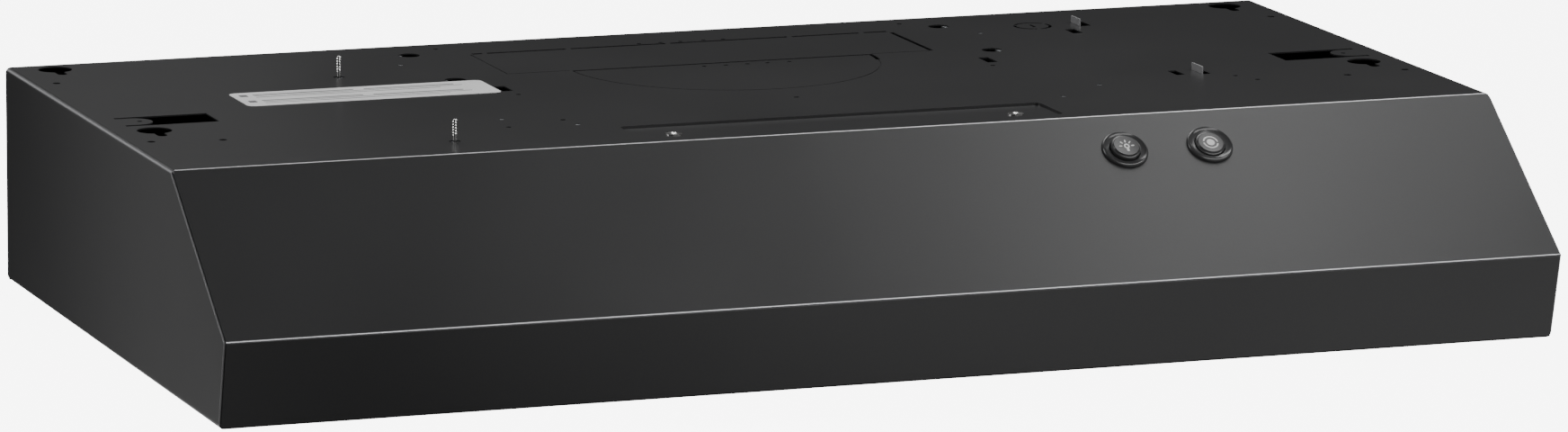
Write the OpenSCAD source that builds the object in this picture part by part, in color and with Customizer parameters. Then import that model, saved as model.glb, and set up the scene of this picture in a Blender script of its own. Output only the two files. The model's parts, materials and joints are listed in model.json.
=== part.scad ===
// Under cabinet range hood for a 30 in opening: a folded steel canopy with two push
// buttons on its sloping front, two hinged grease filters, an axial fan under the duct
// knock-outs and a two-bulb lamp housing behind a hinged lens.
//
// Axes: +X right, +Y towards the wall, +Z up. The origin is the centre of the four
// keyholes, on the top face. Depths, named d, are measured forward from the rear face.

/* [Canopy] */
// Width over the two sides
hood_w = 759; // [755:1:765]
// Depth of the flat top
top_d = 330; // [328:1:332]
// Depth to the nose, where the slope meets the lip
nose_d = 428; // [426:1:432]
// Depth to the bottom edge of the lip
lip_d = 417; // [415:1:420]
// Height from the rim to the top face
hood_h = 121; // [120:1:124]
// Height of the lip
lip_h = 48; // [46:1:50]
// Thickness of the folded sheet
sheet = 0.8; // [0.6:0.1:1]
// Outside radius of the folds along the front
fold_r = 1.6; // [1.4:0.1:2]
// Outside radius of the folds along the sides
side_fold_r = 3; // [2.5:0.1:3.5]
// Width of the rim turned in around the bottom
rim_w = 12; // [10:1:14]
// Step in from a side's face to the edge of the front sheet, which leaves a seam
seam = 1; // [0.8:0.1:1.2]
// Width of the flange on a side's front edge, under the front sheet
flange_w = 10; // [8:1:12]

/* [Keyholes and cabinet screws] */
// Spacing of the keyholes across the hood
key_pitch_x = 710; // [706:1:714]
// Spacing of the keyholes front to back
key_pitch_y = 200; // [198:1:202]
// Depth of the rear pair of keyholes
key_rear_d = 15; // [14:1:16]
// Radius of a keyhole's entry
key_r = 9.5; // [9:0.1:10]
// Radius of a keyhole's seat, half the width of its slot
key_seat_r = 2.75; // [2.5:0.05:3]
// Distance from the entry's centre to the slot's end
key_run = 18; // [16:1:20]
// Radius of the small fixing holes near the sides
fix_r = 2.2; // [2:0.1:2.5]

/* [Duct knock-outs] */
// Centre of the duct openings across the hood
vent_x = 8; // [6:1:10]
// Length of the rectangular duct opening
duct_w = 254; // [253:1:256]
// Radius of the round duct opening
duct_r = 89; // [88:1:90]
// Depth where the rectangular opening starts
duct_rear_d = 38; // [37:1:39]
// Depth of the chord that closes the round opening
chord_d = 108; // [107:1:109]

/* [Buttons] */
// Place of the light button across the hood
light_x = 152.5; // [150:0.5:155]
// Place of the fan button across the hood
fan_button_x = 202.5; // [200:0.5:205]
// Distance of both buttons down the slope from the top fold
button_w = 26.5; // [25:0.5:28]
// Radius of a bezel
bezel_r = 13; // [12:0.5:14]
// Radius of a button
button_r = 8.3; // [8:0.1:8.5]
// How far the light button stands out
light_out = 4; // [3.5:0.5:4.5]
// How far the fan button stands out
fan_out = 2.5; // [2:0.5:3]

/* [Filters] */
// Width of one filter
filter_w = 353; // [350:1:354]
// Inner edge of a filter from the middle of the hood
filter_in = 12; // [12:0.5:14]
// Depth of a filter's rear edge
filter_rear_d = 26; // [25.5:0.5:26]
// Depth of a filter's front edge
filter_front_d = 283; // [282:0.5:283]
// Depth of the filter hinge's axis
filter_axis_d = 22; // [21.5:0.5:22]
// Height of the filter hinge's axis
filter_axis_z = -104.5; // [-104.6:0.1:-104.4]
// Radius of the rolled bead that the filter hangs by
bead_r = 2.5; // [2.4:0.1:2.6]

/* [Fan and motor] */
// Depth of the fan's axis
fan_d = 130; // [128:1:132]
// Radius of the blade's tips
fan_r = 86; // [84:0.5:87]
// Radius of the orifice around the blade
orifice_r = 90; // [90:0.5:91]
// Number of blades
blade_count = 5; // [4:1:6]
// Slope of a blade
blade_tilt = 28; // [24:1:30]
// Radius of the motor's shaft
shaft_r = 4; // [3.8:0.1:4]
// Clearance of the shaft in its bearings
shaft_play = 0.05; // [0.03:0.01:0.08]
// Radius of the motor's can
motor_r = 38; // [36:0.5:40]

/* [Lamps] */
// Half the width of the lamp housing
lamp_half = 120; // [118:1:122]
// Radius of a bulb
bulb_r = 24; // [22:0.5:25]
// Radius of a bulb's screw cap
cap_r = 12.9; // [12.5:0.1:13]
// Half the width of the lens
lens_half = 115; // [114:0.5:115]
// Radius of the lens's hinge pins
pin_r = 1.5; // [1.4:0.1:1.6]

/* [Hidden] */
$fn = 64;

half_w = hood_w / 2;
back_y = key_rear_d + key_pitch_y / 2;
nose_z = lip_h - hood_h;
slope_tilt = atan2(-nose_z, nose_d - top_d);
gap = 0.1;
through = 5;

// Corner points of the front, from the rim up to the rear edge of the top
front_line = [[lip_d - rim_w, -hood_h], [lip_d, -hood_h], [nose_d, nose_z],
    [top_d, 0], [0, 0]];
// Corner points of the sides and top, as [x, z]
girth_line = [[half_w - rim_w, -hood_h], [half_w, -hood_h], [half_w, 0], [-half_w, 0],
    [-half_w, -hood_h], [-half_w + rim_w, -hood_h]];

// Recess that holds the lamp housing's screws
recess_half = lamp_half + 2;
recess_rear_d = 281;
recess_front_d = 319;
recess_z = -1.5;
lamp_screw_x = 99;
lamp_screw_d = 305;

// The two screws that hold the brace stand up through the top
brace_x = -211.5;
brace_screw_d = [87, 295];
brace_screw_top = 12;

pan_z = -108;
pan_half = half_w - 2 * sheet - gap;
filter_out = filter_in + filter_w;
filter_low = -109;
filter_high = -100;
stud_d = 276;
clip_offset = 110;
rivet_x = [-330, -110, 110, 330];
rivet_d = 8;
rivet_r = 1.6;

housing_half = 165;
housing_front_d = 262;
housing_z = -45;
collar_z = -58;
bracket_z = -61.5;
leg_r = 110;
foot_r = 118;
bell_top = -64;
can_top = -66.5;
can_low = -88;
blade_z = -46;
motor_screw_r = 24;

lens_axis_d = 304;
lens_axis_z = -105;
bulb_d = 345;
bulb_z = -62;
lamp_line = [[392, pan_z + gap], [392, -56], [320, recess_z - sheet],
    [290, recess_z - sheet], [290, -60], [298, pan_z + gap]];

box_x0 = 194;
box_x1 = 246;
box_d0 = 22;
box_d1 = 90;
box_z = -48;

// ---------------------------------------------------------------- placing

// Moves to a place given by x, depth and height
module at(x, d, z = 0) translate([x, back_y - d, z]) children();

// A block between two corners
module block(x0, x1, d0, d1, z0, z1)
    translate([x0, back_y - d1, z0]) cube([x1 - x0, d1 - d0, z1 - z0]);

// An upright round post
module post(x, d, z0, z1, r) at(x, d, z0) cylinder(r = r, h = z1 - z0);

// An upright tube
module tube(x, d, z0, z1, r_in, r_out)
    difference() {
        post(x, d, z0, z1, r_out);
        post(x, d, z0 - 1, z1 + 1, r_in);
    }

// A hole through the top plate
module drill(x, d, r) post(x, d, -through, through, r);

// Extrudes an outline drawn as [d, z] from x0 to x1
module along_x(x0, x1)
    translate([x1, back_y, 0]) rotate([90, 0, -90]) linear_extrude(x1 - x0) children();

// Extrudes an outline drawn as [x, z] from depth d0 to d1
module along_d(d0, d1)
    translate([0, back_y - d0, 0]) rotate([90, 0, 0]) linear_extrude(d1 - d0) children();

// Moves onto the slope, with +Z out of it and +Y up it
module on_slope(x, w)
    at(x, top_d + w * cos(slope_tilt), -w * sin(slope_tilt))
        rotate([slope_tilt, 0, 0]) children();

// Moves onto the fan's axis
module on_fan() at(vent_x, fan_d) children();

// A block with round upright corners
module rounded_block(x0, x1, d0, d1, z0, z1, r) {
    block(x0 + r, x1 - r, d0, d1, z0, z1);
    block(x0, x1, d0 + r, d1 - r, z0, z1);
    for (x = [x0 + r, x1 - r], d = [d0 + r, d1 - r]) post(x, d, z0, z1, r);
}

// Both of a pair, mirrored across the hood
module both_sides() {
    children();
    mirror([1, 0, 0]) children();
}

// ---------------------------------------------------------------- folded sheet

function heading(p, q) = (q - p) / norm(q - p);
function left_of(v) = [-v[1], v[0]];
function turned(v, a) = [v[0] * cos(a) - v[1] * sin(a), v[0] * sin(a) + v[1] * cos(a)];
function arriving(p, i) = heading(p[max(i - 1, 0)], p[max(i, 1)]);
function leaving(p, i) =
    heading(p[min(i, len(p) - 2)], p[min(i + 1, len(p) - 1)]);
function turn_at(p, i) =
    atan2(cross(arriving(p, i), leaving(p, i)), arriving(p, i) * leaving(p, i));

// The line moved to its left by t
function moved_left(p, t) = [for (i = [0:len(p) - 1])
    let (a = left_of(arriving(p, i)), b = left_of(leaving(p, i)))
    p[i] + (a + b) * t / (1 + a * b)];

// One corner of a line, rounded to radius r
function bend(p, i, turn, r, steps = 6) =
    abs(turn) < 1 ? [p[i]] :
    let (start = p[i] - arriving(p, i) * r * tan(abs(turn) / 2),
         centre = start + left_of(arriving(p, i)) * r * sign(turn))
    [for (k = [0:steps]) centre + turned(start - centre, turn * k / steps)];

function rounded(p, r_left, r_right) = [for (i = [0:len(p) - 1])
    each bend(p, i, turn_at(p, i), turn_at(p, i) > 0 ? r_left : r_right)];

function reversed(v) = [for (i = [len(v) - 1:-1:0]) v[i]];

// A sheet of thickness t to the left of a line, folded with outside radius r
module folded(p, t = sheet, r = fold_r)
    polygon(concat(rounded(p, r, r - t),
        reversed(rounded(moved_left(p, t), r - t, r))));

// ---------------------------------------------------------------- canopy

module canopy_blank() {
    intersection() {
        along_x(-half_w + seam, half_w - seam) folded(front_line);
        along_d(-1, nose_d + 1) polygon(rounded(girth_line, side_fold_r, side_fold_r));
    }
    intersection() {
        along_d(0, nose_d) folded(girth_line, sheet, side_fold_r);
        along_x(-hood_w, hood_w) side_outline();
    }
    both_sides() along_x(half_w - flange_w, half_w - sheet / 2)
        folded(front_under(-3, -3), sheet, fold_r);
}

// The front's face moved in by the sheet, run past its ends by the two lengths
function front_under(past_rim, past_top) =
    let (lip = heading([lip_d, -hood_h], [nose_d, nose_z]),
         slope = heading([nose_d, nose_z], [top_d, 0]))
    moved_left([[lip_d, -hood_h] - past_rim * lip, [nose_d, nose_z],
        [top_d, 0] + past_top * slope], sheet + gap);

// Outline of a side, held back from the front by the sheet
module side_outline() {
    line = front_under(10, 10);
    polygon(concat(line, [[-1, line[2][1]], [-1, line[0][1]]]));
}

module keyhole(x, d) {
    seat_d = d + key_run - key_seat_r;
    drill(x, d, key_r);
    drill(x, seat_d, key_seat_r);
    block(x - key_seat_r, x + key_seat_r, d, seat_d, -through, through);
}

// A slot that leaves a round-ended tongue pointing inwards
module tongue_slot() {
    difference() {
        block(314, 366, 173, 199, -through, through);
        block(358, 367, 176, 196, -through - 1, through + 1);
        post(358, 186, -through - 1, through + 1, 10);
    }
    drill(355, 186, 1.5);
}

// A straight row of slots along X with bridges between them
module bridged_slot(ends, d0, d1, z0, z1, bridge = 3)
    for (i = [0:len(ends) - 2])
        block(ends[i] + bridge / 2, ends[i + 1] - bridge / 2, d0, d1, z0, z1);

// A round knock-out held by three bridges, with a slot to prise it out
module ring_knockout(r) {
    difference() {
        cylinder(r = r, h = 2 * through, center = true);
        cylinder(r = r - 1, h = 2 * through + 1, center = true);
        for (a = [90, 210, 330]) rotate(a) translate([r / 2, 0, 0])
            cube([r + 2, 2.4, 2 * through + 1], center = true);
    }
    cube([1.6, 8, 2 * through], center = true);
}

// The rectangular and the half-round duct knock-outs, part cut and part scored
module duct_knockouts() {
    left = vent_x - duct_w / 2;
    right = vent_x + duct_w / 2;
    score = 0.35;
    chord_x = vent_x + duct_r;
    bridged_slot([left, left + 9, left + 59, vent_x - 8, vent_x + 66, right - 17, right],
        duct_rear_d - 1.5, duct_rear_d + 1.5, -through, through);
    block(right - 1.25, right + 1.25, duct_rear_d + 4, chord_d - 2, -through, through);
    block(vent_x - duct_r, chord_x, chord_d - 1.2, chord_d + 1.2, -through, through);
    // the chord's slot runs a little way on around the half circle
    intersection() {
        tube(vent_x, chord_d, -through, through, duct_r - 1.2, duct_r + 1.2);
        block(vent_x, chord_x + 2, chord_d, chord_d + 17, -through, through);
    }
    intersection() {
        tube(vent_x, chord_d, -score, through, duct_r - 0.4, duct_r + 0.4);
        block(-half_w, half_w, chord_d, nose_d, -score, through);
    }
    block(left - 0.4, left + 0.4, duct_rear_d, chord_d - 2, -score, through);
    block(left, vent_x - duct_r, chord_d - 2.4, chord_d - 1.6, -score, through);
    block(chord_x, right, chord_d - 2.4, chord_d - 1.6, -score, through);
    for (x = [-14, -1, 12, 24, 37]) drill(vent_x + x, chord_d + 8, 0.9);
    for (x = [-24, -11, 1, 15, 27]) drill(vent_x + x, duct_rear_d - 4, 0.9);
    for (side = [-1, 1], d = [31, 115]) drill(vent_x + side * 160.5, d, 6);
}

// Rectangular holes, [x, d, width, length]
lance_holes = [[237, 70, 6, 14], [239, 217, 5, 14], [154, 145, 6, 16], [-136, 150, 6, 16]];
// Slots with an upright tab on their left edge, [x, d, width, length]
tab_slots = [[250.5, 47.5, 7, 15], [254, 217, 5, 17]];
tab_h = 4;
// Small round holes, [x, d, radius]
small_holes = [[-132, 16, 1.5], [150, 16, 1.5], [150, 163, 1.5], [-134, 170, 1.5],
    [-136, 252, 1.5], [-171, 264, 1.5], [9, 225, 1.5], [267, 236, 1.5], [274, 251, 1.5],
    [-328, 253, 2.2], [328, 253, 2.2]];
housing_screws = [[-167, 240], [183, 240], [-167, 60], [183, 60], [-133, 268], [150, 268]];
screw_r = 1.6;

module top_cuts() {
    for (side = [-1, 1], step = [0, key_pitch_y])
        keyhole(side * key_pitch_x / 2, key_rear_d + step);
    both_sides() tongue_slot();
    both_sides() for (d = [58, 247]) drill(366, d, fix_r);
    duct_knockouts();
    at(221, 46) ring_knockout(11);
    for (h = concat(lance_holes, tab_slots))
        block(h[0] - h[2] / 2, h[0] + h[2] / 2, h[1] - h[3] / 2, h[1] + h[3] / 2,
            -through, through);
    for (h = small_holes) drill(h[0], h[1], h[2]);
    for (s = housing_screws) drill(s[0], s[1], screw_r);
    for (d = brace_screw_d) drill(brace_x, d, 3.2);
    block(vent_x - recess_half, vent_x + recess_half, recess_rear_d, recess_front_d,
        -through, through);
}

// The shallow tray pressed into the top for the lamp housing's screws
module recess_tray()
    difference() {
        block(vent_x - recess_half - sheet, vent_x + recess_half + sheet,
            recess_rear_d - sheet, recess_front_d + sheet, recess_z - sheet, -sheet / 2);
        block(vent_x - recess_half, vent_x + recess_half, recess_rear_d, recess_front_d,
            recess_z, through);
        for (side = [-1, 1]) drill(vent_x + side * lamp_screw_x, lamp_screw_d, 2);
    }

module canopy_shell() color("#3a3a3c") {
    difference() {
        canopy_blank();
        top_cuts();
        for (x = [light_x, fan_button_x])
            on_slope(x, button_w) cylinder(r = 10, h = 2 * through, center = true);
        // room for the rear panel between the turned-in rims
        block(-half_w + sheet, half_w - sheet, -1, sheet + gap,
            -hood_h - 1, -hood_h + 2 * side_fold_r);
    }
    recess_tray();
    for (t = tab_slots) {
        left = t[0] - t[2] / 2;
        block(left, left + sheet, t[1] - t[3] / 2 + 1, t[1] + t[3] / 2 - 1, -sheet, tab_h);
    }
}

// ---------------------------------------------------------------- rear panel and pan

module rear_panel() color("#3a3a3c") {
    edge = half_w - sheet;
    flange = 20;
    key_room = key_pitch_x / 2 - key_r - 8;
    inside = [[edge, -hood_h - 1], [edge, -sheet], [-edge, -sheet], [-edge, -hood_h - 1]];
    difference() {
        union() {
            intersection() {
                along_x(-edge, edge)
                    folded([[flange, -sheet], [0, -sheet], [0, -hood_h], [rim_w, -hood_h]]);
                along_d(-1, flange + 1)
                    polygon(rounded(inside, side_fold_r - sheet, side_fold_r - sheet));
            }
            both_sides() block(edge - sheet, edge, 0.5, rim_w, -hood_h + 4, -4);
        }
        // the top flange stops short of the keyholes, the bottom one short of the rims
        both_sides() block(key_room, edge + 1, fold_r, flange + 1, -3, 0);
        both_sides() block(edge - rim_w - 1, edge + 1, sheet + gap, rim_w + 1,
            -hood_h - 1, -hood_h + 2 * fold_r);
        for (x = [-132, 150]) drill(x, 16, 1.5);
        rear_duct_knockout();
        translate([221, back_y, -40]) rotate([90, 0, 0]) ring_knockout(11);
    }
}

// The rectangular duct opening in the rear panel, cut on four sides with bridges
module rear_duct_knockout() {
    left = vent_x - duct_w / 2;
    right = vent_x + duct_w / 2;
    low = -95;
    high = -12;
    for (z = [low, high - 2])
        bridged_slot([left, left + 60, vent_x, right - 60, right], -1, 2, z, z + 2);
    for (x = [left, right - 2]) block(x, x + 2, -1, 2, low + 4, high - 4);
}

module filter_pan() color("#3a3a3c") {
    rear = sheet + gap;
    flange_z = -96;
    low = pan_z - sheet;
    lip_run = (nose_d - lip_d) / lip_h;
    inset = 2 * (sheet + gap) / cos(atan(lip_run));
    front_low = lip_d + (low + hood_h) * lip_run - inset;
    front_high = lip_d + (flange_z + hood_h) * lip_run - inset;
    difference() {
        union() {
            along_x(-pan_half, pan_half) folded([[rear, flange_z], [rear, low],
                [front_low, low], [front_high, flange_z]]);
            both_sides() block(pan_half - sheet, pan_half, rear, front_low, low, flange_z);
        }
        both_sides() block(filter_in - 2, filter_out + 2, 14, filter_front_d + 3,
            low - 1, pan_z + 1);
        block(vent_x - lens_half - 2, vent_x + lens_half + 2, 299, 390, low - 1, pan_z + 1);
        for (x = rivet_x) post(x, rivet_d, low - 1, pan_z + 1, rivet_r);
    }
}

// A C-shaped rail that the filters' beads turn in, open to the front and downwards
module filter_rail() color("#8f9294") {
    window = [[0, 0], for (a = [35, 0, -62]) 8 * [cos(a), sin(a)]];
    difference() {
        union() {
            along_x(-filter_out, filter_out) translate([filter_axis_d, filter_axis_z])
                difference() {
                    circle(r = bead_r + 1.2);
                    circle(r = bead_r + 0.4);
                    polygon(window);
                }
            block(-filter_out, filter_out, 3, filter_axis_d - 1.5, pan_z, pan_z + sheet);
        }
        for (x = rivet_x) post(x, rivet_d, pan_z - 1, pan_z + 2, rivet_r);
    }
}

module rail_rivets() color("#b9bcbe")
    for (x = rivet_x) {
        post(x, rivet_d, pan_z - sheet, pan_z + sheet, rivet_r);
        post(x, rivet_d, pan_z - sheet - 1.2, pan_z - sheet, 3);
        post(x, rivet_d, pan_z + sheet, pan_z + sheet + 1, 2.8);
    }

function stud_x() = [for (side = [-1, 1], offset = [-clip_offset, clip_offset])
    side * (filter_in + filter_w / 2) + offset];

// Spring clips on the pan whose two fingers hold a filter's studs
module filter_clips() color("#b9bcbe") {
    foot_d = filter_front_d + 4;
    finger_in = 3.3;
    finger_z = -98.5;
    top_z = -92.5;
    for (x = stud_x()) {
        block(x - 8, x + 8, foot_d, foot_d + 8, pan_z, pan_z + sheet);
        block(x - 8, x + 8, foot_d, foot_d + sheet, pan_z, top_z);
        for (side = [-1, 1]) translate([x, 0, 0]) scale([side, 1, 1])
            block(finger_in, finger_in + sheet, stud_d - 6, foot_d + sheet, finger_z, top_z);
    }
}

// ---------------------------------------------------------------- grease filters

// Every filter piece is drawn for the right side and mirrored for the left
module filter_frame() {
    rail = 9;
    groove = 4;
    difference() {
        rounded_block(filter_in, filter_out, filter_rear_d, filter_front_d,
            filter_low, filter_high, 6);
        block(filter_in + rail, filter_out - rail, filter_rear_d + rail,
            filter_front_d - rail, filter_low - 1, filter_high + 1);
        block(filter_in + groove, filter_out - groove, filter_rear_d + groove,
            filter_front_d - groove, filter_low + 1.5, filter_high - 1.5);
    }
    along_x(filter_in + 8, filter_out - 8) {
        translate([filter_axis_d, filter_axis_z]) circle(r = bead_r);
        translate([filter_axis_d, filter_axis_z - 0.6])
            square([filter_rear_d - filter_axis_d + 1, 1.2]);
    }
}

// A slab with the mass of the foil layers, held in the frame's groove
module filter_mesh() {
    groove = 4.2;
    middle = (filter_low + filter_high) / 2;
    block(filter_in + groove, filter_out - groove, filter_rear_d + groove,
        filter_front_d - groove, middle - 1, middle + 1);
}

// A folded finger tab riveted under the front of a filter
module filter_tab() {
    middle = filter_in + filter_w / 2;
    half = 18;
    low = filter_low - sheet;
    block(middle - half, middle + half, filter_front_d - 9, filter_front_d, low, filter_low);
    block(middle - half, middle + half, filter_front_d - sheet, filter_front_d,
        low - 6, low);
    for (side = [-1, 1]) post(middle + side * 12, filter_front_d - 5, low - 1, low, 2);
}

module filter_studs()
    for (side = [-1, 1]) {
        x = filter_in + filter_w / 2 + side * clip_offset;
        post(x, stud_d, filter_high, filter_high + 4.5, 1.8);
        at(x, stud_d, filter_high + 4.5) sphere(r = 2.9);
    }

module right_filter_frame() color("#c4c7c9") filter_frame();
module right_filter_mesh() color("#a9acae") filter_mesh();
module right_filter_tab() color("#c4c7c9") filter_tab();
module right_filter_studs() color("#b9bcbe") filter_studs();
module left_filter_frame() color("#c4c7c9") mirror([1, 0, 0]) filter_frame();
module left_filter_mesh() color("#a9acae") mirror([1, 0, 0]) filter_mesh();
module left_filter_tab() color("#c4c7c9") mirror([1, 0, 0]) filter_tab();
module left_filter_studs() color("#b9bcbe") mirror([1, 0, 0]) filter_studs();

// ---------------------------------------------------------------- fan housing

// A shallow box under the top plate, open to the rear panel, with the fan's orifice
module fan_housing() color("#8f9294") {
    left = vent_x - housing_half;
    right = vent_x + housing_half;
    wall_top = -2 * sheet - gap;
    flange = 20;
    difference() {
        union() {
            block(left, right, sheet + 2 * gap, housing_front_d, housing_z - sheet, housing_z);
            for (x = [left, right - sheet])
                block(x, x + sheet, sheet + 2 * gap, housing_front_d,
                    housing_z - sheet, wall_top);
            block(left, right, housing_front_d - sheet, housing_front_d,
                housing_z - sheet, -sheet);
            // flanges against the top plate, clear of the rear panel's own flange
            block(left - flange, left + sheet, 24, housing_front_d + 12, -2 * sheet, -sheet);
            block(right - sheet, right + flange - 2, 24, housing_front_d + 12,
                -2 * sheet, -sheet);
            block(left, right, housing_front_d - sheet, housing_front_d + 12,
                -2 * sheet, -sheet);
            for (x = [left, right - sheet])
                block(x, x + sheet, 24, housing_front_d, wall_top - 1, -sheet);
        }
        on_fan() translate([0, 0, housing_z - 1.5]) cylinder(r = orifice_r + 6, h = 3);
        for (s = housing_screws) drill(s[0], s[1], screw_r);
        for (a = [30, 150, 270]) on_fan() rotate(a) translate([foot_r, 0, housing_z - 2])
            cylinder(r = 2, h = 4);
    }
}

// A rolled ring under the housing's hole that guides air into the blade
module orifice_ring() color("#8f9294")
    on_fan() rotate_extrude($fn = 96)
        folded([[orifice_r + 18, housing_z - sheet], [orifice_r, housing_z - sheet],
            [orifice_r, collar_z]], sheet, 6);

module fan_housing_screws() color("#b9bcbe")
    for (s = housing_screws) {
        post(s[0], s[1], -2 * sheet - 2.4, -2 * sheet, 3.4);
        post(s[0], s[1], -2 * sheet, -0.2, screw_r);
    }

// Three arms under the orifice that carry the motor
module motor_bracket() color("#9a9d9f") {
    thick = 1.5;
    on_fan() difference() {
        union() {
            translate([0, 0, bracket_z]) cylinder(r = 32, h = thick);
            for (a = [30, 150, 270]) rotate(a) {
                translate([20, -8, bracket_z]) cube([leg_r - 20 + thick, 16, thick]);
                translate([leg_r, -8, bracket_z])
                    cube([thick, 16, housing_z - sheet - bracket_z]);
                translate([leg_r, -8, housing_z - sheet - thick]) cube([15, 16, thick]);
            }
        }
        translate([0, 0, bracket_z - 1]) cylinder(r = 14, h = thick + 2);
        for (a = [30, 150, 270]) rotate(a) {
            translate([motor_screw_r, 0, bracket_z - 1]) cylinder(r = 2.1, h = thick + 2);
            translate([foot_r, 0, housing_z - sheet - thick - 1])
                cylinder(r = 2, h = thick + 2);
        }
    }
}

module bracket_screws() color("#b9bcbe")
    on_fan() for (a = [30, 150, 270]) rotate(a) translate([foot_r, 0, 0]) {
        under = housing_z - sheet - 1.5;
        translate([0, 0, under - 2.4]) cylinder(r = 4, h = 2.4);
        translate([0, 0, under]) cylinder(r = 2, h = 5);
    }

// ---------------------------------------------------------------- motor

module motor_grommets() color("#202020")
    on_fan() for (a = [30, 150, 270]) rotate(a) translate([motor_screw_r, 0, bell_top])
        difference() {
            cylinder(r = 6, h = bracket_z - bell_top);
            translate([0, 0, -1]) cylinder(r = 2.1, h = bracket_z - bell_top + 2);
        }

module motor_screws() color("#b9bcbe")
    on_fan() for (a = [30, 150, 270]) rotate(a) translate([motor_screw_r, 0, 0]) {
        translate([0, 0, bracket_z + 1.5]) cylinder(r = 4, h = 2);
        translate([0, 0, can_top]) cylinder(r = 2, h = bracket_z + 1.5 - can_top);
    }

module motor_can() color("#6d7072")
    on_fan() translate([0, 0, can_low]) difference() {
        cylinder(r = motor_r, h = can_top - can_low);
        translate([0, 0, -1]) cylinder(r = motor_r - 1.2, h = can_top - can_low + 2);
    }

// An end bell with a boss for its bearing; the upper one is tapped for the screws
module end_bell(plate_low, plate_top, boss_low, boss_top, seat_r)
    difference() {
        union() {
            translate([0, 0, plate_low]) cylinder(r = motor_r, h = plate_top - plate_low);
            translate([0, 0, boss_low]) cylinder(r = 10, h = boss_top - boss_low);
        }
        translate([0, 0, boss_low - 1]) cylinder(r = seat_r, h = boss_top - boss_low + 2);
    }

module motor_upper_bell() color("#7c7f81")
    on_fan() difference() {
        end_bell(can_top, bell_top, can_top, -60.5, 7);
        for (a = [30, 150, 270]) rotate(a) translate([motor_screw_r, 0, can_top - 1])
            cylinder(r = 2, h = 5);
    }

module motor_lower_bell() color("#7c7f81")
    on_fan() end_bell(can_low - 2.5, can_low, -95, can_low, 7);

module motor_stator() color("#55585a")
    on_fan() translate([0, 0, -84]) difference() {
        cylinder(r = motor_r - 1.2, h = 13);
        translate([0, 0, -1]) cylinder(r = 20, h = 15);
    }

module motor_windings() color("#b4622d")
    on_fan() for (z = [-87, -71]) translate([0, 0, z]) difference() {
        cylinder(r = 34, h = 3);
        translate([0, 0, -1]) cylinder(r = 22, h = 5);
    }

module motor_bearings() color("#c29a4a")
    on_fan() for (z = [[-66.5, -60.5], [-95, -88]]) translate([0, 0, z[0]])
        difference() {
            cylinder(r = 7, h = z[1] - z[0]);
            translate([0, 0, -1]) cylinder(r = shaft_r + shaft_play, h = z[1] - z[0] + 2);
        }

module motor_rotor() color("#8a8d8f")
    on_fan() translate([0, 0, -84]) difference() {
        cylinder(r = 19.4, h = 13);
        translate([0, 0, -1]) cylinder(r = shaft_r, h = 15);
    }

module motor_shaft() color("#c9ccce")
    on_fan() translate([0, 0, -96]) cylinder(r = shaft_r, h = 67);

// ---------------------------------------------------------------- fan

module fan_blade() color("#b4b7b9")
    on_fan() difference() {
        union() {
            translate([0, 0, blade_z - 1]) cylinder(r = 28, h = 2);
            for (i = [0:blade_count - 1]) rotate(i * 360 / blade_count) one_blade();
        }
        translate([0, 0, blade_z - 2]) cylinder(r = shaft_r, h = 4);
    }

module one_blade()
    intersection() {
        translate([0, 0, blade_z - 12]) cylinder(r = fan_r, h = 24);
        translate([22, 0, blade_z]) rotate([blade_tilt, 0, 0])
            translate([0, -21, -0.8]) cube([fan_r, 42, 1.6]);
    }

module fan_hub() color("#c9ccce")
    on_fan() translate([0, 0, blade_z + 1]) difference() {
        union() {
            cylinder(r = 14, h = 2);
            cylinder(r = 9, h = 8);
        }
        translate([0, 0, -1]) cylinder(r = shaft_r, h = 10);
    }

module fan_nut() color("#c9ccce")
    on_fan() translate([0, 0, blade_z + 9]) difference() {
        cylinder(r = 7.5, h = 5, $fn = 6);
        translate([0, 0, -1]) cylinder(r = shaft_r, h = 7);
    }

// ---------------------------------------------------------------- lamps

module lamp_housing() color("#d9dadb")
    difference() {
        union() {
            along_x(vent_x - lamp_half, vent_x + lamp_half) folded(lamp_line);
            for (x = [vent_x - lamp_half, vent_x + lamp_half - sheet])
                along_x(x, x + sheet) polygon(rounded(lamp_line, fold_r, fold_r));
        }
        for (side = [-1, 1])
            drill(vent_x + side * lamp_screw_x, lamp_screw_d, 2);
        at(vent_x, lens_axis_d, lens_axis_z) rotate([0, 90, 0])
            cylinder(r = pin_r + 0.05, h = 2 * lamp_half + 2, center = true);
    }

module lamp_screws() color("#d0d2d4")
    for (side = [-1, 1]) {
        x = vent_x + side * lamp_screw_x;
        post(x, lamp_screw_d, recess_z, recess_z + 2.2, 4.5);
        post(x, lamp_screw_d, -9, recess_z, 2);
    }

module lamp_nuts() color("#b9bcbe")
    for (side = [-1, 1]) {
        x = vent_x + side * lamp_screw_x;
        top = recess_z - 2 * sheet;
        difference() {
            block(x - 5, x + 5, lamp_screw_d - 5, lamp_screw_d + 5, top - 2.5, top);
            post(x, lamp_screw_d, top - 3, top + 1, 2);
        }
    }

// Draws for the left lamp, with +Z along the bulb from the end plate, and its mirror
module both_lamps()
    for (side = [-1, 1]) translate([vent_x, 0, 0]) scale([side, 1, 1])
        at(-lamp_half + sheet, bulb_d, bulb_z) rotate([0, 90, 0]) children();

module lamp_sockets() color("#e8e4da")
    both_lamps() difference() {
        union() {
            cylinder(r = 17, h = 26);
            cylinder(r = 20, h = 4);
        }
        translate([0, 0, 3]) cylinder(r = cap_r + 0.4, h = 24);
    }

module bulb_caps() color("#c8b27a")
    both_lamps() translate([0, 0, 3]) cylinder(r = cap_r, h = 26);

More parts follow.
